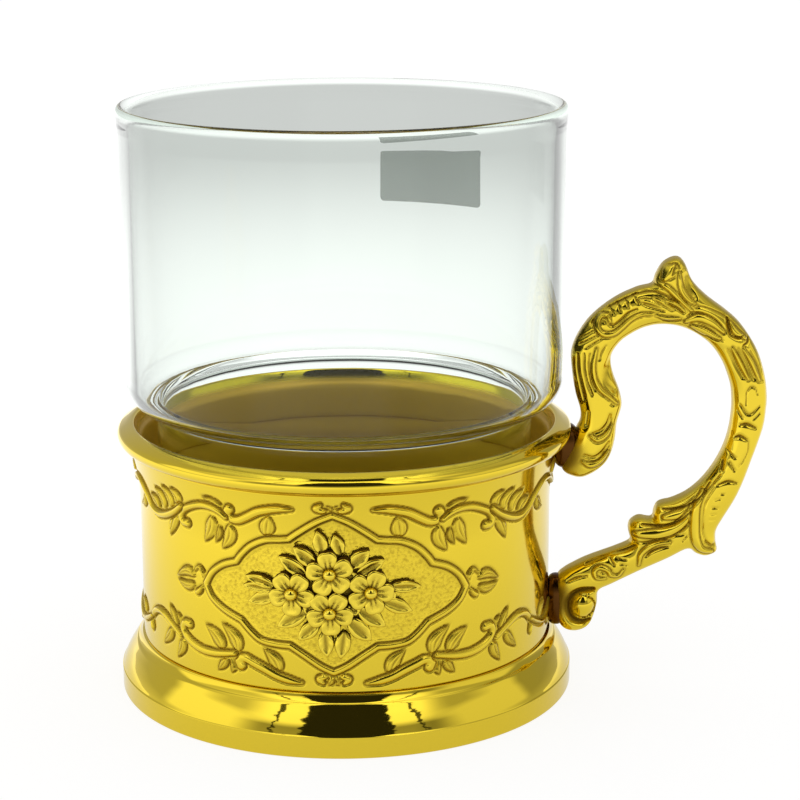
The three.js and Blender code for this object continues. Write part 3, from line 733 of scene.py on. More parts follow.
# %% Ridges of the handle's carving, as (half width, rise, line)
HANDLE_RIDGES = [
    (1.1, 0.35, [(48.2, 64.0), (48.9, 65.0), (49.6, 65.6)]),
    (0.5, 0.3, [(47.0, 63.2), (48.6, 62.6), (50.4, 60.9), (52.3, 59.1)]),
    (0.5, 0.25, [(50.3, 64.8), (50.6, 62.8), (51.4, 61.3), (53.0, 59.8)]),
    (0.5, 0.3, [(40.2, 57.1), (39.8, 58.2), (38.8, 58.2), (38.2, 57.2), (38.4, 56.1), (39.3, 55.4),
                (40.7, 55.5), (41.9, 56.4), (43.3, 57.7), (45.0, 58.5), (47.4, 58.5)]),
    (0.4, 0.25, [(44.4, 60.6), (45.8, 60.5), (47.6, 59.8)]),
    (0.4, 0.25, [(46.6, 61.0), (48.0, 60.4), (49.4, 59.3)]),
    (0.4, 0.25, [(48.6, 60.6), (50.0, 60.0), (51.2, 59.0)]),
    (0.4, 0.25, [(47.0, 58.3), (48.6, 57.9), (50.6, 57.9)]),
    (0.65, 0.25, [(51.5, 57.4), (53.4, 58.0), (55.4, 57.3), (57.1, 55.9)]),
    (0.6, 0.22, [(52.4, 56.7), (54.2, 55.9), (56.6, 54.8)]),
    (0.55, 0.3, [(58.2, 57.2), (59.0, 55.9), (60.6, 54.8)]),
    (0.45, 0.22, [(58.6, 53.4), (59.8, 51.0), (61.1, 48.6)]),
    (0.45, 0.22, [(60.3, 53.2), (61.7, 50.9), (62.8, 48.4)]),
    (0.45, 0.22, [(38.2, 53.2), (37.8, 50.6), (38.0, 48.6), (38.9, 46.9), (40.3, 45.7), (41.5, 44.6)]),
    (0.5, 0.25, [(37.5, 39.6), (38.6, 39.0), (39.9, 39.7), (40.7, 41.2)]),
    (0.5, 0.25, [(36.3, 35.6), (37.5, 34.9), (39.0, 35.4), (40.3, 37.0)]),
    (0.8, 0.35, [(49.0, 26.7), (50.4, 27.0), (52.0, 27.6), (53.4, 28.8), (54.6, 30.4)]),
    (0.9, 0.35, [(44.7, 24.0), (46.4, 24.0), (48.8, 24.2), (50.8, 25.0), (52.3, 26.4), (53.3, 28.3)]),
    (0.75, 0.3, [(54.8, 30.8), (53.9, 28.4), (53.7, 25.6), (53.9, 23.3), (54.8, 21.7), (56.4, 21.2)]),
    (0.5, 0.28, [(45.3, 19.0), (45.6, 20.7), (46.6, 21.8), (48.1, 22.6), (50.0, 22.8)]),
    (0.45, 0.28, [(40.2, 16.8), (38.9, 16.9), (38.5, 17.9), (39.3, 18.6), (40.5, 18.2), (41.1, 17.4),
                  (42.2, 17.3), (43.0, 18.3)]),
]

# %% Cuts of the handle's carving: for each (half width, depth, tone), its lines
HANDLE_CUTS = {
    (0.25, 0.3, 0.9): [
        [(39.9, 59.7), (40.7, 58.5)], [(41.2, 60.2), (41.8, 58.8)], [(42.4, 60.7), (43.0, 59.4)],
        [(43.6, 61.3), (44.4, 60.1)],
        [(40.1, 57.2), (40.6, 56.7), (41.8, 57.6), (42.9, 58.7), (44.2, 59.3)],
        [(48.9, 60.2), (50.2, 59.5), (51.1, 58.7)], [(39.2, 57.5), (39.3, 57.2)],
        [(36.7, 53.3), (38.9, 54.7)],
    ],
    (0.2, 0.25, 0.9): [
        [(40.7, 42.2), (40.4, 41.0), (39.4, 39.9), (38.4, 39.5)],
        [(40.5, 38.0), (39.4, 36.4), (38.2, 35.6), (37.2, 35.8)], [(42.0, 20.1), (43.4, 19.8)],
        [(42.4, 19.2), (43.5, 18.9)],
    ],
    (0.16, 0.18, 0.5): [
        [(56.7, 29.6), (57.5, 29.7)], [(56.1, 27.2), (56.9, 27.2)], [(56.0, 26.4), (56.8, 26.4)],
    ],
    (0.2, 0.22, 0.8): [
        [(60.0, 44.6), (61.4, 43.1), (63.0, 44.4)], [(59.7, 43.6), (60.5, 42.4)],
        [(62.1, 42.3), (63.1, 43.3)],
    ],
    (0.2, 0.25, 0.8): [
        [(45.1, 60.0), (46.8, 59.4), (48.4, 58.9)], [(48.0, 57.5), (49.8, 57.3), (51.0, 57.6)],
        [(53.2, 57.3), (54.5, 56.6), (56.0, 55.7)],
    ],
    (0.22, 0.3, 0.9): [
        [(35.5, 54.5), (37.6, 55.9)], [(39.5, 17.8), (39.9, 17.6)],
        [(37.4, 17.2), (35.8, 16.9), (34.4, 16.2)],
    ],
    (0.2, 0.3, 0.8): [
        [(51.0, 23.8), (52.1, 24.0)], [(51.9, 22.8), (52.6, 23.8)],
    ],
    (0.25, 0.35, 0.9): [
        [(35.7, 53.8), (38.2, 55.2)],
        [(44.6, 22.6), (46.2, 22.7), (48.2, 23.0), (50.2, 23.7), (51.8, 24.8), (52.9, 26.0)],
    ],
    (0.28, 0.35, 1.0): [
        [(57.0, 31.9), (58.6, 32.5), (59.9, 32.2)],
        [(46.4, 20.4), (47.2, 21.2), (48.6, 21.8), (49.8, 22.0)],
    ],
    (0.3, 0.4, 1.0): [
        [(58.4, 55.2), (59.5, 54.9), (60.2, 55.2)], [(60.9, 55.0), (60.9, 54.2), (60.2, 53.7)],
    ],
    (0.32, 0.4, 1.0): [
        [(60.2, 41.4), (61.2, 41.5), (62.5, 40.9)], [(59.5, 39.4), (60.2, 39.6), (61.2, 39.1)],
    ],
    (0.35, 0.4, 0.35): [
        [(40.5, 42.9), (40.1, 41.5), (39.2, 40.4), (37.9, 39.9)],
        [(40.4, 38.5), (39.4, 37.0), (38.1, 36.1), (36.6, 36.5)],
    ],
    (0.45, 0.3, 0.45): [
        [(57.8, 53.2), (58.9, 51.3), (60.3, 48.8)], [(59.4, 53.3), (60.8, 51.0), (62.0, 48.6)],
    ],
    (0.14, 0.18, 0.6): [[(61.5, 38.9), (61.4, 37.2), (60.8, 35.8), (60.1, 34.9)]],
    (0.16, 0.2, 0.7): [[(60.9, 44.6), (60.9, 46.4), (61.5, 47.4), (62.2, 47.2), (62.6, 46.2)]],
    (0.18, 0.2, 0.7): [[(57.6, 30.5), (58.0, 30.5)]],
    (0.2, 0.2, 0.6): [[(51.1, 65.5), (50.3, 64.7)]],
    (0.2, 0.22, 0.6): [[(54.6, 55.3), (56.0, 54.6), (57.2, 54.4)]],
    (0.2, 0.22, 0.9): [[(56.3, 28.3), (57.2, 28.3)]],
    (0.2, 0.25, 0.5): [
        [(56.6, 31.7), (55.7, 30.2), (55.1, 28.4), (54.9, 26.2), (55.0, 24.2), (55.6, 22.8)],
    ],
    (0.2, 0.28, 0.9): [[(51.6, 58.2), (52.4, 58.7), (53.7, 58.7), (55.6, 57.9), (57.0, 56.6)]],
    (0.2, 0.3, 0.7): [[(57.4, 33.6), (56.0, 31.6), (55.0, 30.5)]],
    (0.22, 0.25, 0.8): [[(52.3, 60.2), (53.0, 59.9), (54.9, 59.4), (57.2, 58.3), (57.9, 57.3)]],
    (0.25, 0.22, 0.6): [[(37.2, 52.4), (37.1, 50.4), (37.4, 48.4), (38.1, 46.7)]],
    (0.25, 0.25, 0.7): [[(39.6, 53.6), (39.0, 52.6), (38.7, 51.4)]],
    (0.25, 0.25, 0.8): [[(40.5, 44.6), (40.9, 44.3)]],
    (0.25, 0.28, 0.8): [[(58.3, 37.4), (59.6, 36.2)]],
    (0.25, 0.3, 0.8): [[(58.7, 35.6), (59.5, 34.2)]],
    (0.25, 0.35, 1.0): [[(40.9, 20.0), (41.6, 18.9)]],
    (0.28, 0.25, 0.7): [[(36.3, 52.3), (36.4, 50.0), (36.9, 47.9), (37.7, 45.9)]],
    (0.28, 0.35, 0.9): [[(49.9, 66.1), (49.5, 65.2), (49.3, 64.5)]],
    (0.3, 0.2, 0.5): [[(61.3, 53.0), (62.5, 50.7), (63.3, 48.2)]],
    (0.3, 0.25, 0.7): [[(37.1, 43.2), (36.9, 41.2)]],
    (0.3, 0.25, 0.8): [[(35.4, 52.2), (35.5, 50.0), (36.0, 47.5), (36.5, 45.2)]],
    (0.3, 0.35, 0.9): [[(44.0, 61.5), (46.2, 61.9), (48.3, 61.4), (50.2, 60.4)]],
    (0.3, 0.4, 0.9): [[(37.4, 56.9), (38.6, 58.7), (40.4, 59.7), (42.3, 60.7), (44.0, 61.5)]],
    (0.3, 0.45, 1.0): [[(55.9, 32.2), (54.4, 29.9), (52.4, 28.5), (50.2, 27.9), (48.8, 27.9)]],
    (0.3, 0.5, 1.0): [[(52.9, 27.5), (51.4, 26.2), (49.6, 25.4), (47.5, 25.2), (45.7, 25.4)]],
    (0.34, 0.45, 1.0): [[(37.2, 18.9), (38.9, 19.8), (40.8, 20.7), (43.1, 21.2), (44.8, 22.0)]],
    (0.35, 0.4, 0.7): [[(55.4, 22.9), (56.3, 22.1), (57.2, 22.4)]],
    (0.35, 0.45, 1.0): [[(57.7, 57.9), (57.9, 56.7), (58.2, 55.4)]],
    (0.4, 0.4, 1.0): [[(57.8, 35.7), (57.6, 34.2)]],
    (0.75, 1.0, 1.0): [
        [(38.3, 14.9), (36.4, 14.6), (34.9, 13.4), (34.6, 11.8), (35.2, 10.2), (36.6, 9.6), (37.8, 9.8)],
    ],
    (0.9, 0.4, 0.3): [[(51.4, 64.2), (51.7, 62.6), (52.5, 61.0)]],
    (1.0, 0.4, 0.3): [[(40.6, 51.2), (39.7, 49.5), (39.9, 47.9), (41.0, 46.6)]],
}
# The ball at the handle's foot, as (reach, height, radius), and the two solder joints that get painted shade
HANDLE_BALL = (36.9, 12.1, 1.95)
SOLDERED = [(33.4, 36.4), (32.3, 13.0)]
# All carving goes this much deeper than its tables say, but stays within the casting's half thickness.
CARVED_DEEPER = 1.15
HANDLE_HALF = 3.29


# %% Carve both faces
def tapered(line, half):
    """The line's places with a half width that narrows towards both ends."""
    share = np.linspace(0, 1, len(line))
    return [(x, z, half * (0.55 + 0.45 * math.sin(math.pi * t))) for (x, z), t in zip(line, share)]


def handle_relief(places):
    relief = Relief(places)
    for half, rise, line in HANDLE_RIDGES:
        relief.lay(tapered(line, half), CARVED_DEEPER * rise, crease=0.18, width=0.15, flat=0.7, tone=0.7)
    for (half, depth, tone), lines in HANDLE_CUTS.items():
        for line in lines:
            relief.cut(tapered(line, 0.9 * half), CARVED_DEEPER * depth, 0.9 * tone)
    x, z, radius = HANDLE_BALL
    distance = np.hypot(places[:, 0] - x, places[:, 1] - z)
    dome = np.sqrt(np.clip(1 - (distance / radius) ** 2, 0, 1))
    on_ball = distance < radius
    relief.height[on_ball] = 1.35 * dome[on_ball] - 1.0
    # Painted shade round the foot of the ball, where it meets the casting.
    relief.hollow[on_ball] = (0.9 * (1 - soft_step(dome, 0.0, 0.45)))[on_ball]
    return relief


def carved_handle():
    bm = handle_blank()
    bm.normal_update()
    facing = np.abs([v.normal.y for v in bm.verts])
    places = bmesh_places(bm)
    relief = handle_relief(places[:, (0, 2)])
    share = soft_step(facing, 0.2, 0.55)
    places[:, 1] += np.sign(places[:, 1]) * relief.height * share
    places[:, 1] = np.clip(places[:, 1], -HANDLE_HALF, HANDLE_HALF)
    set_places(bm, places)
    made = piece("handle_casting", bm, stands_for=["handle"])
    # Painted shade round the two solder joints and along the casting's side edges.
    shade_near_solder = np.zeros(len(places))
    for x, z in SOLDERED:
        away = np.hypot(places[:, 0] - x, places[:, 2] - z)
        shade_near_solder = np.maximum(shade_near_solder, 0.75 * (1 - soft_step(away, 1.2, 4.6)))
    edge = 0.3 * (1 - soft_step(facing, 0.15, 0.45))
    keep_share(made.data, "hollow", np.maximum.reduce([relief.hollow * share, shade_near_solder, edge]))
    return made


handle = carved_handle()

# %% [markdown]
# ## Solder
#
# A lump of solder fills the gap between the cup and the casting at the rim and at the foot. Each is a ball
# pressed to the size of its solid, and a little wider, so that it runs into the metal on both sides.

# %% Solder lumps
def solder_lump(name, node_name, spread):
    low, high = (np.array(corner) * 1000 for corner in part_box(node_name))
    middle, half = (low + high) / 2, (high - low) / 2 + (spread, 0, 0)

    def shape(*ball):
        return np.array([m + h * np.sign(v) * np.abs(v) ** 0.8 for m, h, v in zip(middle, half, ball)])

    bm = bmesh.new()
    moulded(bm, 48, 32, shape)
    return piece(name, bm, stands_for=[node_name])


upper_lump = solder_lump("solder_at_rim", "upper_solder_joint", 0.45)
lower_lump = solder_lump("solder_at_foot", "lower_solder_joint", 0.75)

# %% [markdown]
# ## Tea glass
#
# The glass is pressed soda-lime glass: a wide upper part with a fire-polished lip, and a narrower part
# that stands in the holder. Light is bent at every surface, so its wall needs a true thickness.

# %% Tea glass
lip = smooth_line(
    [(33.42, 86.4), (33.48, 87.3), (33.57, 88.15), (33.63, 88.8), (33.61, 89.2), (33.48, 89.55),
     (33.22, 89.8), (32.9, 89.9), (32.5, 89.84), (32.12, 89.62), (31.84, 89.25), (31.7, 88.7),
     (31.62, 87.8), (31.6, 86.6)],
    4,
)
glass_outside = [
    [(0.0, 6.5), (12.0, 6.45), (24.5, 6.25)],
    oval((26.4, 8.4), (2.2, 2.2), -80, 0, 10),
    [(28.6, 12.0), (28.6, 30.0)],
    oval((29.6, 43.5), (1.0, 1.0), 180, 90, 6),
    oval((29.1, 48.8), (4.3, 4.3), -84, 0, 18),
    [(33.4, 52.0), (33.4, 70.0), (33.4, 85.4)],
]
glass_inside = [
    [(31.6, 70.0), (31.6, 52.5)],
    oval((29.3, 48.5), (2.3, 2.55), 0, -82, 14),
    oval((28.5, 45.0), (0.9, 0.95), 98, 180, 8),
    [(27.6, 43.0), (27.6, 30.0), (27.6, 16.0)],
    oval((24.3, 13.4), (3.3, 3.2), 0, -84, 12),
    [(12.0, 10.1), (0.0, 10.0)],
]
glass_chain = np.vstack([*glass_outside, lip, *glass_inside])
glass = piece("glass", turned(glass_chain, 32, 7, closed=False), body="glass", stands_for=["tea_glass"])

# %% [markdown]
# ## Label
#
# A small blank film sticks to the back of the glass: a thin arc of plastic with rounded corners. A flat
# grid takes its outline first, and is then bent round the glass and given its thickness.

# %% Label
# In millimetres, but for the turn: degrees from the back towards the handle
FILM_HALF = (9.5, 5.2)
FILM_CORNER = 0.7
FILM_RADIUS = 33.75
FILM_THICKNESS = 0.12
FILM_TURN = 23.6
FILM_HEIGHT = 75.2


def rounded(x, y):
    """Moves a point of the square from -1 to 1 so that the film's corners come out round, in mm."""
    place = np.array([x, y]) * FILM_HALF
    past = np.maximum(np.abs(place) - np.array(FILM_HALF) + FILM_CORNER, 0) / FILM_CORNER
    round_past = past * np.sqrt(1 - past[::-1] ** 2 / 2)
    return place + np.sign(place) * (round_past - past) * FILM_CORNER


def glass_film():
    bm = bmesh.new()
    bmesh.ops.create_grid(bm, x_segments=80, y_segments=44, size=1)
    for vert in bm.verts:
        along, up = rounded(vert.co.x, vert.co.y)
        turn = math.pi / 2 - math.radians(FILM_TURN) - along / FILM_RADIUS
        vert.co = (FILM_RADIUS * math.cos(turn), FILM_RADIUS * math.sin(turn), FILM_HEIGHT + up)
    # The sheet thickens along its normals, which moving the points left behind.
    bm.normal_update()
    bmesh.ops.solidify(bm, geom=bm.faces[:], thickness=FILM_THICKNESS)
    return piece("film", bm, body="glass", stands_for=["glass_label"])


film = glass_film()

# %% [markdown]
# ## Camera
#
# The camera stands where the photograph was taken from, a little above the rim and a third of a metre
# away, with a long lens.

# %% Camera
# Degrees round from the front towards the handle, and metres from the axis and above the table
CAMERA_TURN = 3.4
CAMERA_AWAY = 0.343565
CAMERA_HEIGHT = 0.1309


def look_from(place, heading, drop, roll, lens):
    """A camera that looks along `heading` from +Y, tipped down by `drop` and rolled, all in radians."""
    data = bpy.data.cameras.new("photo_camera")
    camera = new_object("photo_camera", data)
    level = math.cos(drop)
    ahead = Vector((math.sin(heading) * level, math.cos(heading) * level, -math.sin(drop)))
    turn = ahead.to_track_quat("-Z", "Y").to_matrix() @ Matrix.Rotation(roll, 3, "Z")
    camera.matrix_world = Matrix.Translation(place) @ turn.to_4x4()
    data.lens = lens
    data.sensor_width = 36
    data.clip_start = 0.01
    scene.camera = camera


aside = math.radians(CAMERA_TURN)
place = (CAMERA_AWAY * math.sin(aside), -CAMERA_AWAY * math.cos(aside), CAMERA_HEIGHT)
look_from(place, heading=0.0247 - aside, drop=0.2471, roll=-0.0028, lens=104.05)

# %% [markdown]
# ## Materials
#
# Every material is a small tree of nodes. One function adds a node and links what feeds it, one turns a
# written colour into linear light, and one gives a pattern its scale from a size in millimetres.

# %% Colours and nodes
def colour(code):
    """A hex sRGB colour as linear red, green, blue and alpha."""
    parts = [int(code[i : i + 2], 16) / 255 for i in (1, 3, 5)]
    return (*[c / 12.92 if c <= 0.04045 else ((c + 0.055) / 1.055) ** 2.4 for c in parts], 1.0)


def node(tree, kind, inputs=(), **settings):
    """Adds a node. Each of its `inputs`, in order or by name, is a value or what feeds it."""
    made = tree.nodes.new("ShaderNode" + kind)
    for name, value in settings.items():
        setattr(made, name, value)
    for name, value in inputs.items() if isinstance(inputs, dict) else enumerate(inputs):
        if isinstance(value, bpy.types.Node):
            value = next(output for output in value.outputs if output.enabled)
        if isinstance(value, bpy.types.NodeSocket):
            tree.links.new(value, made.inputs[name])
        else:
            made.inputs[name].default_value = value
    return made


# A Map Range takes, in this order, a value, the two ends it runs between and what those two become.
SMOOTH = {"interpolation_type": "SMOOTHSTEP"}


def per_mm(size):
    """The scale of a pattern in metres whose cells measure `size` millimetres."""
    return 1000 / size


def material(name):
    made = bpy.data.materials.new(name)
    made.use_nodes = True
    made.node_tree.nodes.clear()
    return made, made.node_tree


# %% [markdown]
# ### Gilding
#
# Brass plated with bright, slightly greenish gold after it was pressed, cast or spun. The eye gets clear
# reflections that waver a little, because the sheet is thin, and in the creases painted brown shade on
# rougher metal. The ground of each medallion is punched with fine dots, drawn half a millimetre wide, which
# is coarser than they are, so that they show. The inside of the cup was never polished: a softer, warmer
# yellow. The meshes say where: they store the painted shade, the ground and the inside as shares.

# %% Gilding
SHARES = ("hollow", "ground", "inside")


def gilding(name, base, dull, rough, metallic=1.0):
    """Gold from `base` to `dull` as painted shade in the creases, its roughness between the two of `rough`.
    """
    made, tree = material(name)
    place = node(tree, "TexCoord").outputs["Object"]
    hollow, ground, inside_face = (
        node(tree, "Attribute", attribute_name=share).outputs["Fac"] for share in SHARES
    )
    wave = node(tree, "TexNoise", {"Vector": place, "Scale": per_mm(7), "Detail": 1.0})
    grain = node(tree, "TexNoise", {"Vector": place, "Scale": per_mm(0.5), "Detail": 2.0})
    # Colour: warmer inside, brown specks on the ground and brown painted shade in the creases
    warmer = {"Factor": inside_face, "A": colour(base), "B": colour("#DDAE28")}
    lined = node(tree, "Mix", warmer, data_type="RGBA")
    specks = node(tree, "MapRange", [grain, 0.45, 0.7, 0, 0.4])
    specks_and_shade = node(tree, "Math", [specks, ground, hollow], operation="MULTIPLY_ADD")
    tint = node(tree, "Mix", {"Factor": specks_and_shade, "A": lined, "B": colour(dull)}, data_type="RGBA")
    # Roughness: uneven polish, with more on the ground, inside and in the creases
    polish = node(tree, "MapRange", [wave, 0, 1, *rough])
    rough_inside = node(tree, "Math", [inside_face, 0.34, polish], operation="MULTIPLY_ADD")
    rough_ground = node(tree, "Math", [ground, 0.12, rough_inside], operation="MULTIPLY_ADD")
    rougher = node(tree, "Math", [rough_ground, hollow], operation="ADD")
    bare = node(tree, "MapRange", [inside_face, 0, 1, metallic, 0.35])
    # Bumps: the sheet's waves, and the punched dots where the ground is
    stippled = node(tree, "Math", [ground, 0.35], operation="MULTIPLY")
    soft = node(tree, "Bump", {"Height": wave, "Distance": 0.00012, "Strength": 0.35})
    stipple = node(tree, "Bump", {"Height": grain, "Normal": soft, "Strength": stippled, "Distance": 0.00022})
    look = {"Base Color": tint, "Roughness": rougher, "Normal": stipple, "Metallic": bare}
    shader = node(tree, "BsdfPrincipled", look)
    node(tree, "OutputMaterial", {"Surface": shader})
    return made


# Pressed sheet, buffed: bright, and a little soft.
gilt = gilding("polished_gilding", "#E6CA3A", "#76541A", (0.07, 0.14))
# Castings: crisp highlights beside deep brown painted shade.
cast_gilt = gilding("cast_gilding", "#EAD044", "#5C3C12", (0.04, 0.1))
# Spun foot, rolled rim and handle, buffed longest: the sharpest reflections.
bright_gilt = gilding("bright_gilding", "#E6CA3A", "#76541A", (0.02, 0.07))
# Plates that nobody polished: satin, with hardly a reflection.
floor_gilt = gilding("satin_gilding", "#E2B42C", "#8A6216", (0.3, 0.45), metallic=0.45)
# Solder that the torch left brown: dark and smooth.
solder = gilding("darkened_solder", "#553514", "#2A160A", (0.12, 0.3))

# %% [markdown]
# ### Glass and film
#
# Soda-lime glass, pressed in a mould and fire-polished. The eye gets clear glass with a hint of green and
# a slight ripple, and dark and bright lines only where a wall curves away. The film is thin matt plastic:
# a faintly cloudy grey that lets some light through.

# %% Glass
def clear_glass():
    made, tree = material("soda_lime_glass")
    place = node(tree, "TexCoord").outputs["Object"]
    # Pressed glass ripples a little, in streaks that run up and down.
    drawn_out = node(tree, "Mapping", {"Vector": place, "Scale": (1.0, 1.0, 0.12)})
    ripple = node(tree, "TexNoise", {"Vector": drawn_out, "Scale": per_mm(5), "Detail": 2.0})
    wavy = node(tree, "Bump", {"Height": ripple, "Distance": 0.00002, "Strength": 0.5})
    # The grey tint keeps the near wall's own shine from veiling what is behind it.
    look = {"Base Color": colour("#FBFEFC"), "Roughness": 0.0, "IOR": 1.5, "Transmission Weight": 1.0}
    shader = node(tree, "BsdfPrincipled", {**look, "Specular Tint": colour("#A0A0A0"), "Normal": wavy})
    # Deep in a path the wall lets light straight through, so the holder's inside isn't starved of it.
    path = node(tree, "LightPath").outputs
    deep = node(tree, "Math", [path["Ray Depth"], 4.5], operation="GREATER_THAN")
    clear = node(tree, "Math", [deep, path["Is Shadow Ray"]], operation="MAXIMUM")
    plain = node(tree, "BsdfTransparent", {"Color": colour("#F4F8F5")})
    both = node(tree, "MixShader", [clear, shader, plain])
    node(tree, "OutputMaterial", {"Surface": both})
    return made


# %% Film
def grey_film():
    made, tree = material("grey_film")
    place = node(tree, "TexCoord").outputs["Object"]
    fibre = node(tree, "TexNoise", {"Vector": place, "Scale": per_mm(0.9), "Detail": 3.0})
    greys = {"Factor": fibre, "A": colour("#848A85"), "B": colour("#989E98")}
    cloud = node(tree, "Mix", greys, data_type="RGBA")
    dull = node(tree, "MapRange", [fibre, 0, 1, 0.35, 0.55])
    # Light crosses the film's two faces, so each holds back only part of it.
    shader = node(tree, "BsdfPrincipled", {"Base Color": cloud, "Roughness": dull, "Alpha": 0.45})
    node(tree, "OutputMaterial", {"Surface": shader})
    return made


glass_clear = clear_glass()
film_grey = grey_film()

# %% Give every piece its material
for made, finish in (
    (foot, bright_gilt), (rim, bright_gilt), (handle, bright_gilt),
    (sleeve_front, gilt), (sleeve_rear, gilt), (front_spray, cast_gilt), (rear_spray, cast_gilt),
):
    made.data.materials.append(finish)
for made in (upper_lump, lower_lump):
    made.data.materials.append(solder)
glass.data.materials.append(glass_clear)
film.data.materials.append(film_grey)
for name in ("base_plate", "floor_plate"):
    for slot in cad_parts[name].material_slots:
        slot.material = floor_gilt

# %% [markdown]
# ## Floor
#
# The object stands on a large pale sheet, which glows a little so that it stays white round the object's
# shadow. In the metal the sheet shows a painted shadow close by and painted light to the left. Through
# the glass it falls into shade further off, and beside the sheet lies the dark room that a curved wall's
# edge shows.

# %% Floor
# The radius in metres, the share of glow in what is seen of the sheet, how bright the camera sees that glow,
# and how many radians to the left the middle of the sheet lies for what shows through the glass
FLOOR_RADIUS = 6
GLOW = 0.75
PLAIN_LEVEL = 1.12
SHEET_LEAN = 0.15


def pale_floor():
    bm = bmesh.new()
    bmesh.ops.create_circle(bm, cap_ends=True, segments=64, radius=FLOOR_RADIUS)
    made = new_object("floor", bm)
    paint, tree = material("pale_floor")
    made.data.materials.append(paint)
    place = node(tree, "TexCoord").outputs["Object"]
    path = node(tree, "LightPath").outputs
    mirrored, through_glass = path["Is Glossy Ray"], path["Is Transmission Ray"]
    away = node(tree, "VectorMath", [place], operation="LENGTH")
    split = node(tree, "SeparateXYZ", [place]).outputs
    # What the metal mirrors, with a painted shadow close by and painted light to the left
    near_level = node(tree, "MapRange", [away, 0.04, 0.15, 0.84, 1.2])
    to_the_left = node(tree, "MapRange", [split["X"], -0.09, 0.02, 1.26, 1.03], **SMOOTH)
    uneven = node(tree, "Math", [near_level, to_the_left], operation="MULTIPLY")
    glossy = node(tree, "Mix", {"Factor": mirrored, "A": PLAIN_LEVEL, "B": uneven})
    # What shows through the glass, by how far it is and how far to one side
    far_level = node(tree, "MapRange", [away, 0.25, 0.65, 1.22, 0.62], **SMOOTH)
    behind = node(tree, "Math", [split["Y"]], operation="ABSOLUTE")
    heading = node(tree, "Math", [split["X"], behind], operation="ARCTAN2")
    leaning = node(tree, "Math", [heading, SHEET_LEAN], operation="ADD")
    aside = node(tree, "Math", [leaning], operation="ABSOLUTE")
    past_sheet = node(tree, "MapRange", [aside, 0.46, 0.7, 1, 0.2], **SMOOTH)
    through = node(tree, "Math", [far_level, past_sheet], operation="MULTIPLY")
    level = node(tree, "Mix", {"Factor": through_glass, "A": glossy, "B": through})
    greenish = {"Factor": through_glass, "A": (1, 1, 1, 1), "B": colour("#FCFFFC")}
    tint = node(tree, "Mix", greenish, data_type="RGBA")
    glow = node(tree, "Emission", {"Color": tint, "Strength": level})
    matt = node(tree, "BsdfDiffuse", {"Color": colour("#F2F2F2")})
    # What matt things get back from the sheet comes from its paint alone.
    bounced = node(tree, "Math", [mirrored, through_glass], operation="MAXIMUM")
    shown = node(tree, "Math", [path["Is Camera Ray"], bounced], operation="MAXIMUM")
    part = node(tree, "Math", [shown, GLOW], operation="MULTIPLY")
    both = node(tree, "MixShader", [part, matt, glow])
    node(tree, "OutputMaterial", {"Surface": both})


pale_floor()

# %% [markdown]
# ## Studio
#
# An even, soft light falls on everything matt. What the metal mirrors is drawn on the same world: the
# room's brightness from the floor up, with one row of levels ahead, one beside and one behind, and one more
# from left to right, by which all of it is multiplied. A tall dark card behind the camera gives the foot's
# slope its dark patch, with a thin dark stand on each side of it. Through the glass the room is dark low
# down and bright above.

# %% Levels of the studio, as (share of the way, level)
AHEAD = [(0.0, 0.85), (0.05, 0.5), (0.28, 0.42), (0.37, 1.6), (0.75, 2.0), (1.0, 1.9)]
BESIDE = [
    (0.0, 0.85), (0.05, 0.9), (0.1, 1.35), (0.33, 1.4), (0.39, 0.8), (0.5, 0.85), (0.66, 1.1), (0.95, 1.8)
]
BEHIND = [(0.0, 0.85), (0.1, 0.6), (0.6, 0.6), (0.85, 0.8), (1.0, 1.8)]
LEFT_TO_RIGHT = [(0.15, 1.16), (0.33, 1.08), (0.5, 1.0), (0.67, 1.12), (0.76, 1.1), (0.82, 0.78), (1.0, 0.8)]
CARD_LEVEL = 0.03
STAND_AT = 0.69


def levels(tree, share, stops):
    """How bright the studio is at `share` of the way."""
    sky = node(tree, "ValToRGB", [share])
    ramp = sky.color_ramp
    ramp.elements.remove(ramp.elements[1])
    for i, (place, level) in enumerate(stops):
        stop = ramp.elements.new(place) if i else ramp.elements[0]
        stop.position = place
        stop.color = (level, level, level, 1)
    return node(tree, "SeparateColor", [sky])


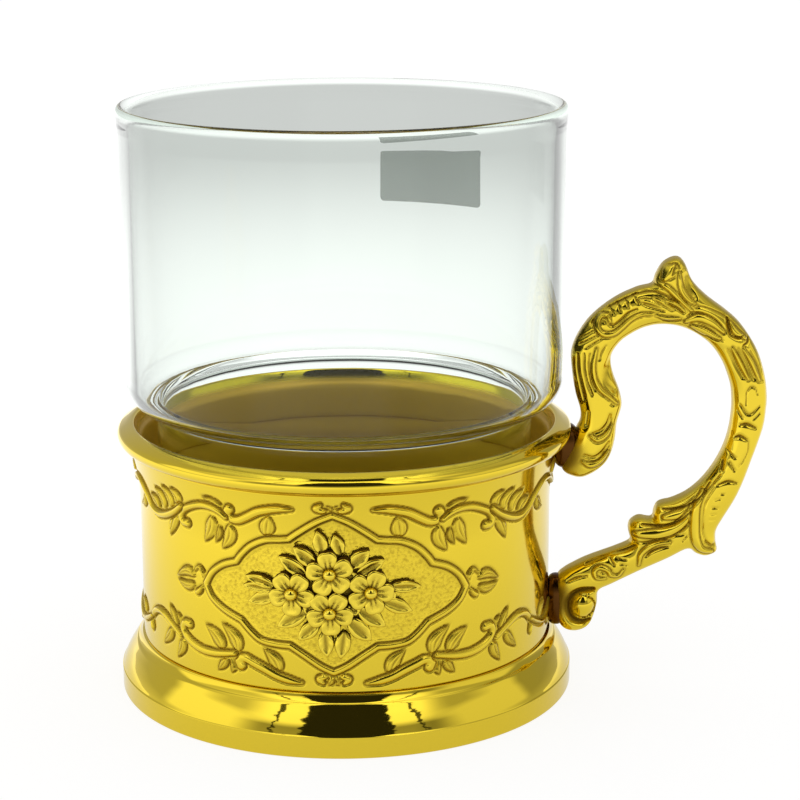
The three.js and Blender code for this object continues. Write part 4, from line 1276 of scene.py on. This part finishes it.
# %% Studio
def studio():
    world = bpy.data.worlds.new("studio")
    world.use_nodes = True
    scene.world = world
    tree = world.node_tree
    tree.nodes.clear()
    path = node(tree, "LightPath").outputs
    way = node(tree, "TexCoord").outputs["Generated"]
    # Turned so that the camera's side is at +X.
    aligned = node(tree, "Mapping", {"Vector": way, "Rotation": (0, 0, math.radians(90 - CAMERA_TURN))})
    split = node(tree, "SeparateXYZ", [aligned]).outputs
    turn = node(tree, "Math", [split["Y"], split["X"]], operation="ARCTAN2")
    height = node(tree, "Math", [split["Z"]], operation="ARCSINE")
    # The room's levels
    share = node(tree, "MapRange", [height, 0, math.pi / 2])
    around = node(tree, "Math", [turn], operation="ABSOLUTE")
    beside = node(tree, "MapRange", [around, 0.75, 1.1], **SMOOTH)
    beyond = node(tree, "MapRange", [around, 1.72, 1.86], **SMOOTH)
    front, sides, back = (levels(tree, share, stops) for stops in (AHEAD, BESIDE, BEHIND))
    front_half = node(tree, "Mix", {"Factor": beside, "A": front, "B": sides})
    all_round = node(tree, "Mix", {"Factor": beyond, "A": front_half, "B": back})
    from_left = node(tree, "MapRange", [split["Y"], -1])
    lit = node(tree, "Math", [all_round, levels(tree, from_left, LEFT_TO_RIGHT)], operation="MULTIPLY")
    # The card and the stands, with ragged edges
    ragged = node(tree, "TexNoise", {"Vector": way, "Scale": 16.0, "Detail": 5.0})
    jitter = node(tree, "MapRange", [ragged, 0, 1, -0.1, 0.1])
    wobble = node(tree, "Math", [turn, jitter], operation="ADD")
    off = node(tree, "Math", [wobble], operation="ABSOLUTE")
    above = node(tree, "MapRange", [height, 0.24, 0.3], **SMOOTH)
    below = node(tree, "MapRange", [height, 1.28, 1.34, 1, 0], **SMOOTH)
    tall = node(tree, "Math", [above, below], operation="MULTIPLY")
    within = node(tree, "MapRange", [off, 0.41, 0.44, 1, 0], **SMOOTH)
    card = node(tree, "Math", [tall, within], operation="MULTIPLY")
    gap = node(tree, "Math", [off, STAND_AT], operation="SUBTRACT")
    apart = node(tree, "Math", [gap], operation="ABSOLUTE")
    thin = node(tree, "MapRange", [apart, 0.014, 0.024, 0.95, 0])
    stand = node(tree, "Math", [tall, thin], operation="MULTIPLY")
    both = node(tree, "Math", [card, stand], operation="MAXIMUM")
    # A path that has crossed three faces is still inside a wall of glass, where the card would only show
    # as a stray black dash.
    in_wall = node(tree, "Math", [path["Transmission Depth"], 3.0, 0.5], operation="COMPARE")
    free = node(tree, "Math", [1.0, in_wall], operation="SUBTRACT")
    dark = node(tree, "Math", [both, free], operation="MULTIPLY")
    level = node(tree, "Mix", {"Factor": dark, "A": lit, "B": CARD_LEVEL})
    # What each kind of ray meets
    through = node(tree, "MapRange", [height, 0.32, 0.8, 0.03, 0.9], **SMOOTH)
    seen = node(tree, "Mix", {"Factor": path["Is Transmission Ray"], "A": level, "B": through})
    bounced = node(tree, "Math", [path["Is Glossy Ray"], path["Is Transmission Ray"]], operation="MAXIMUM")
    strength = node(tree, "Mix", {"Factor": bounced, "A": 1.0, "B": seen})
    light = node(tree, "Background", {"Strength": strength})
    node(tree, "OutputWorld", {"Surface": light})


studio()
scene.view_settings.view_transform = "Standard"
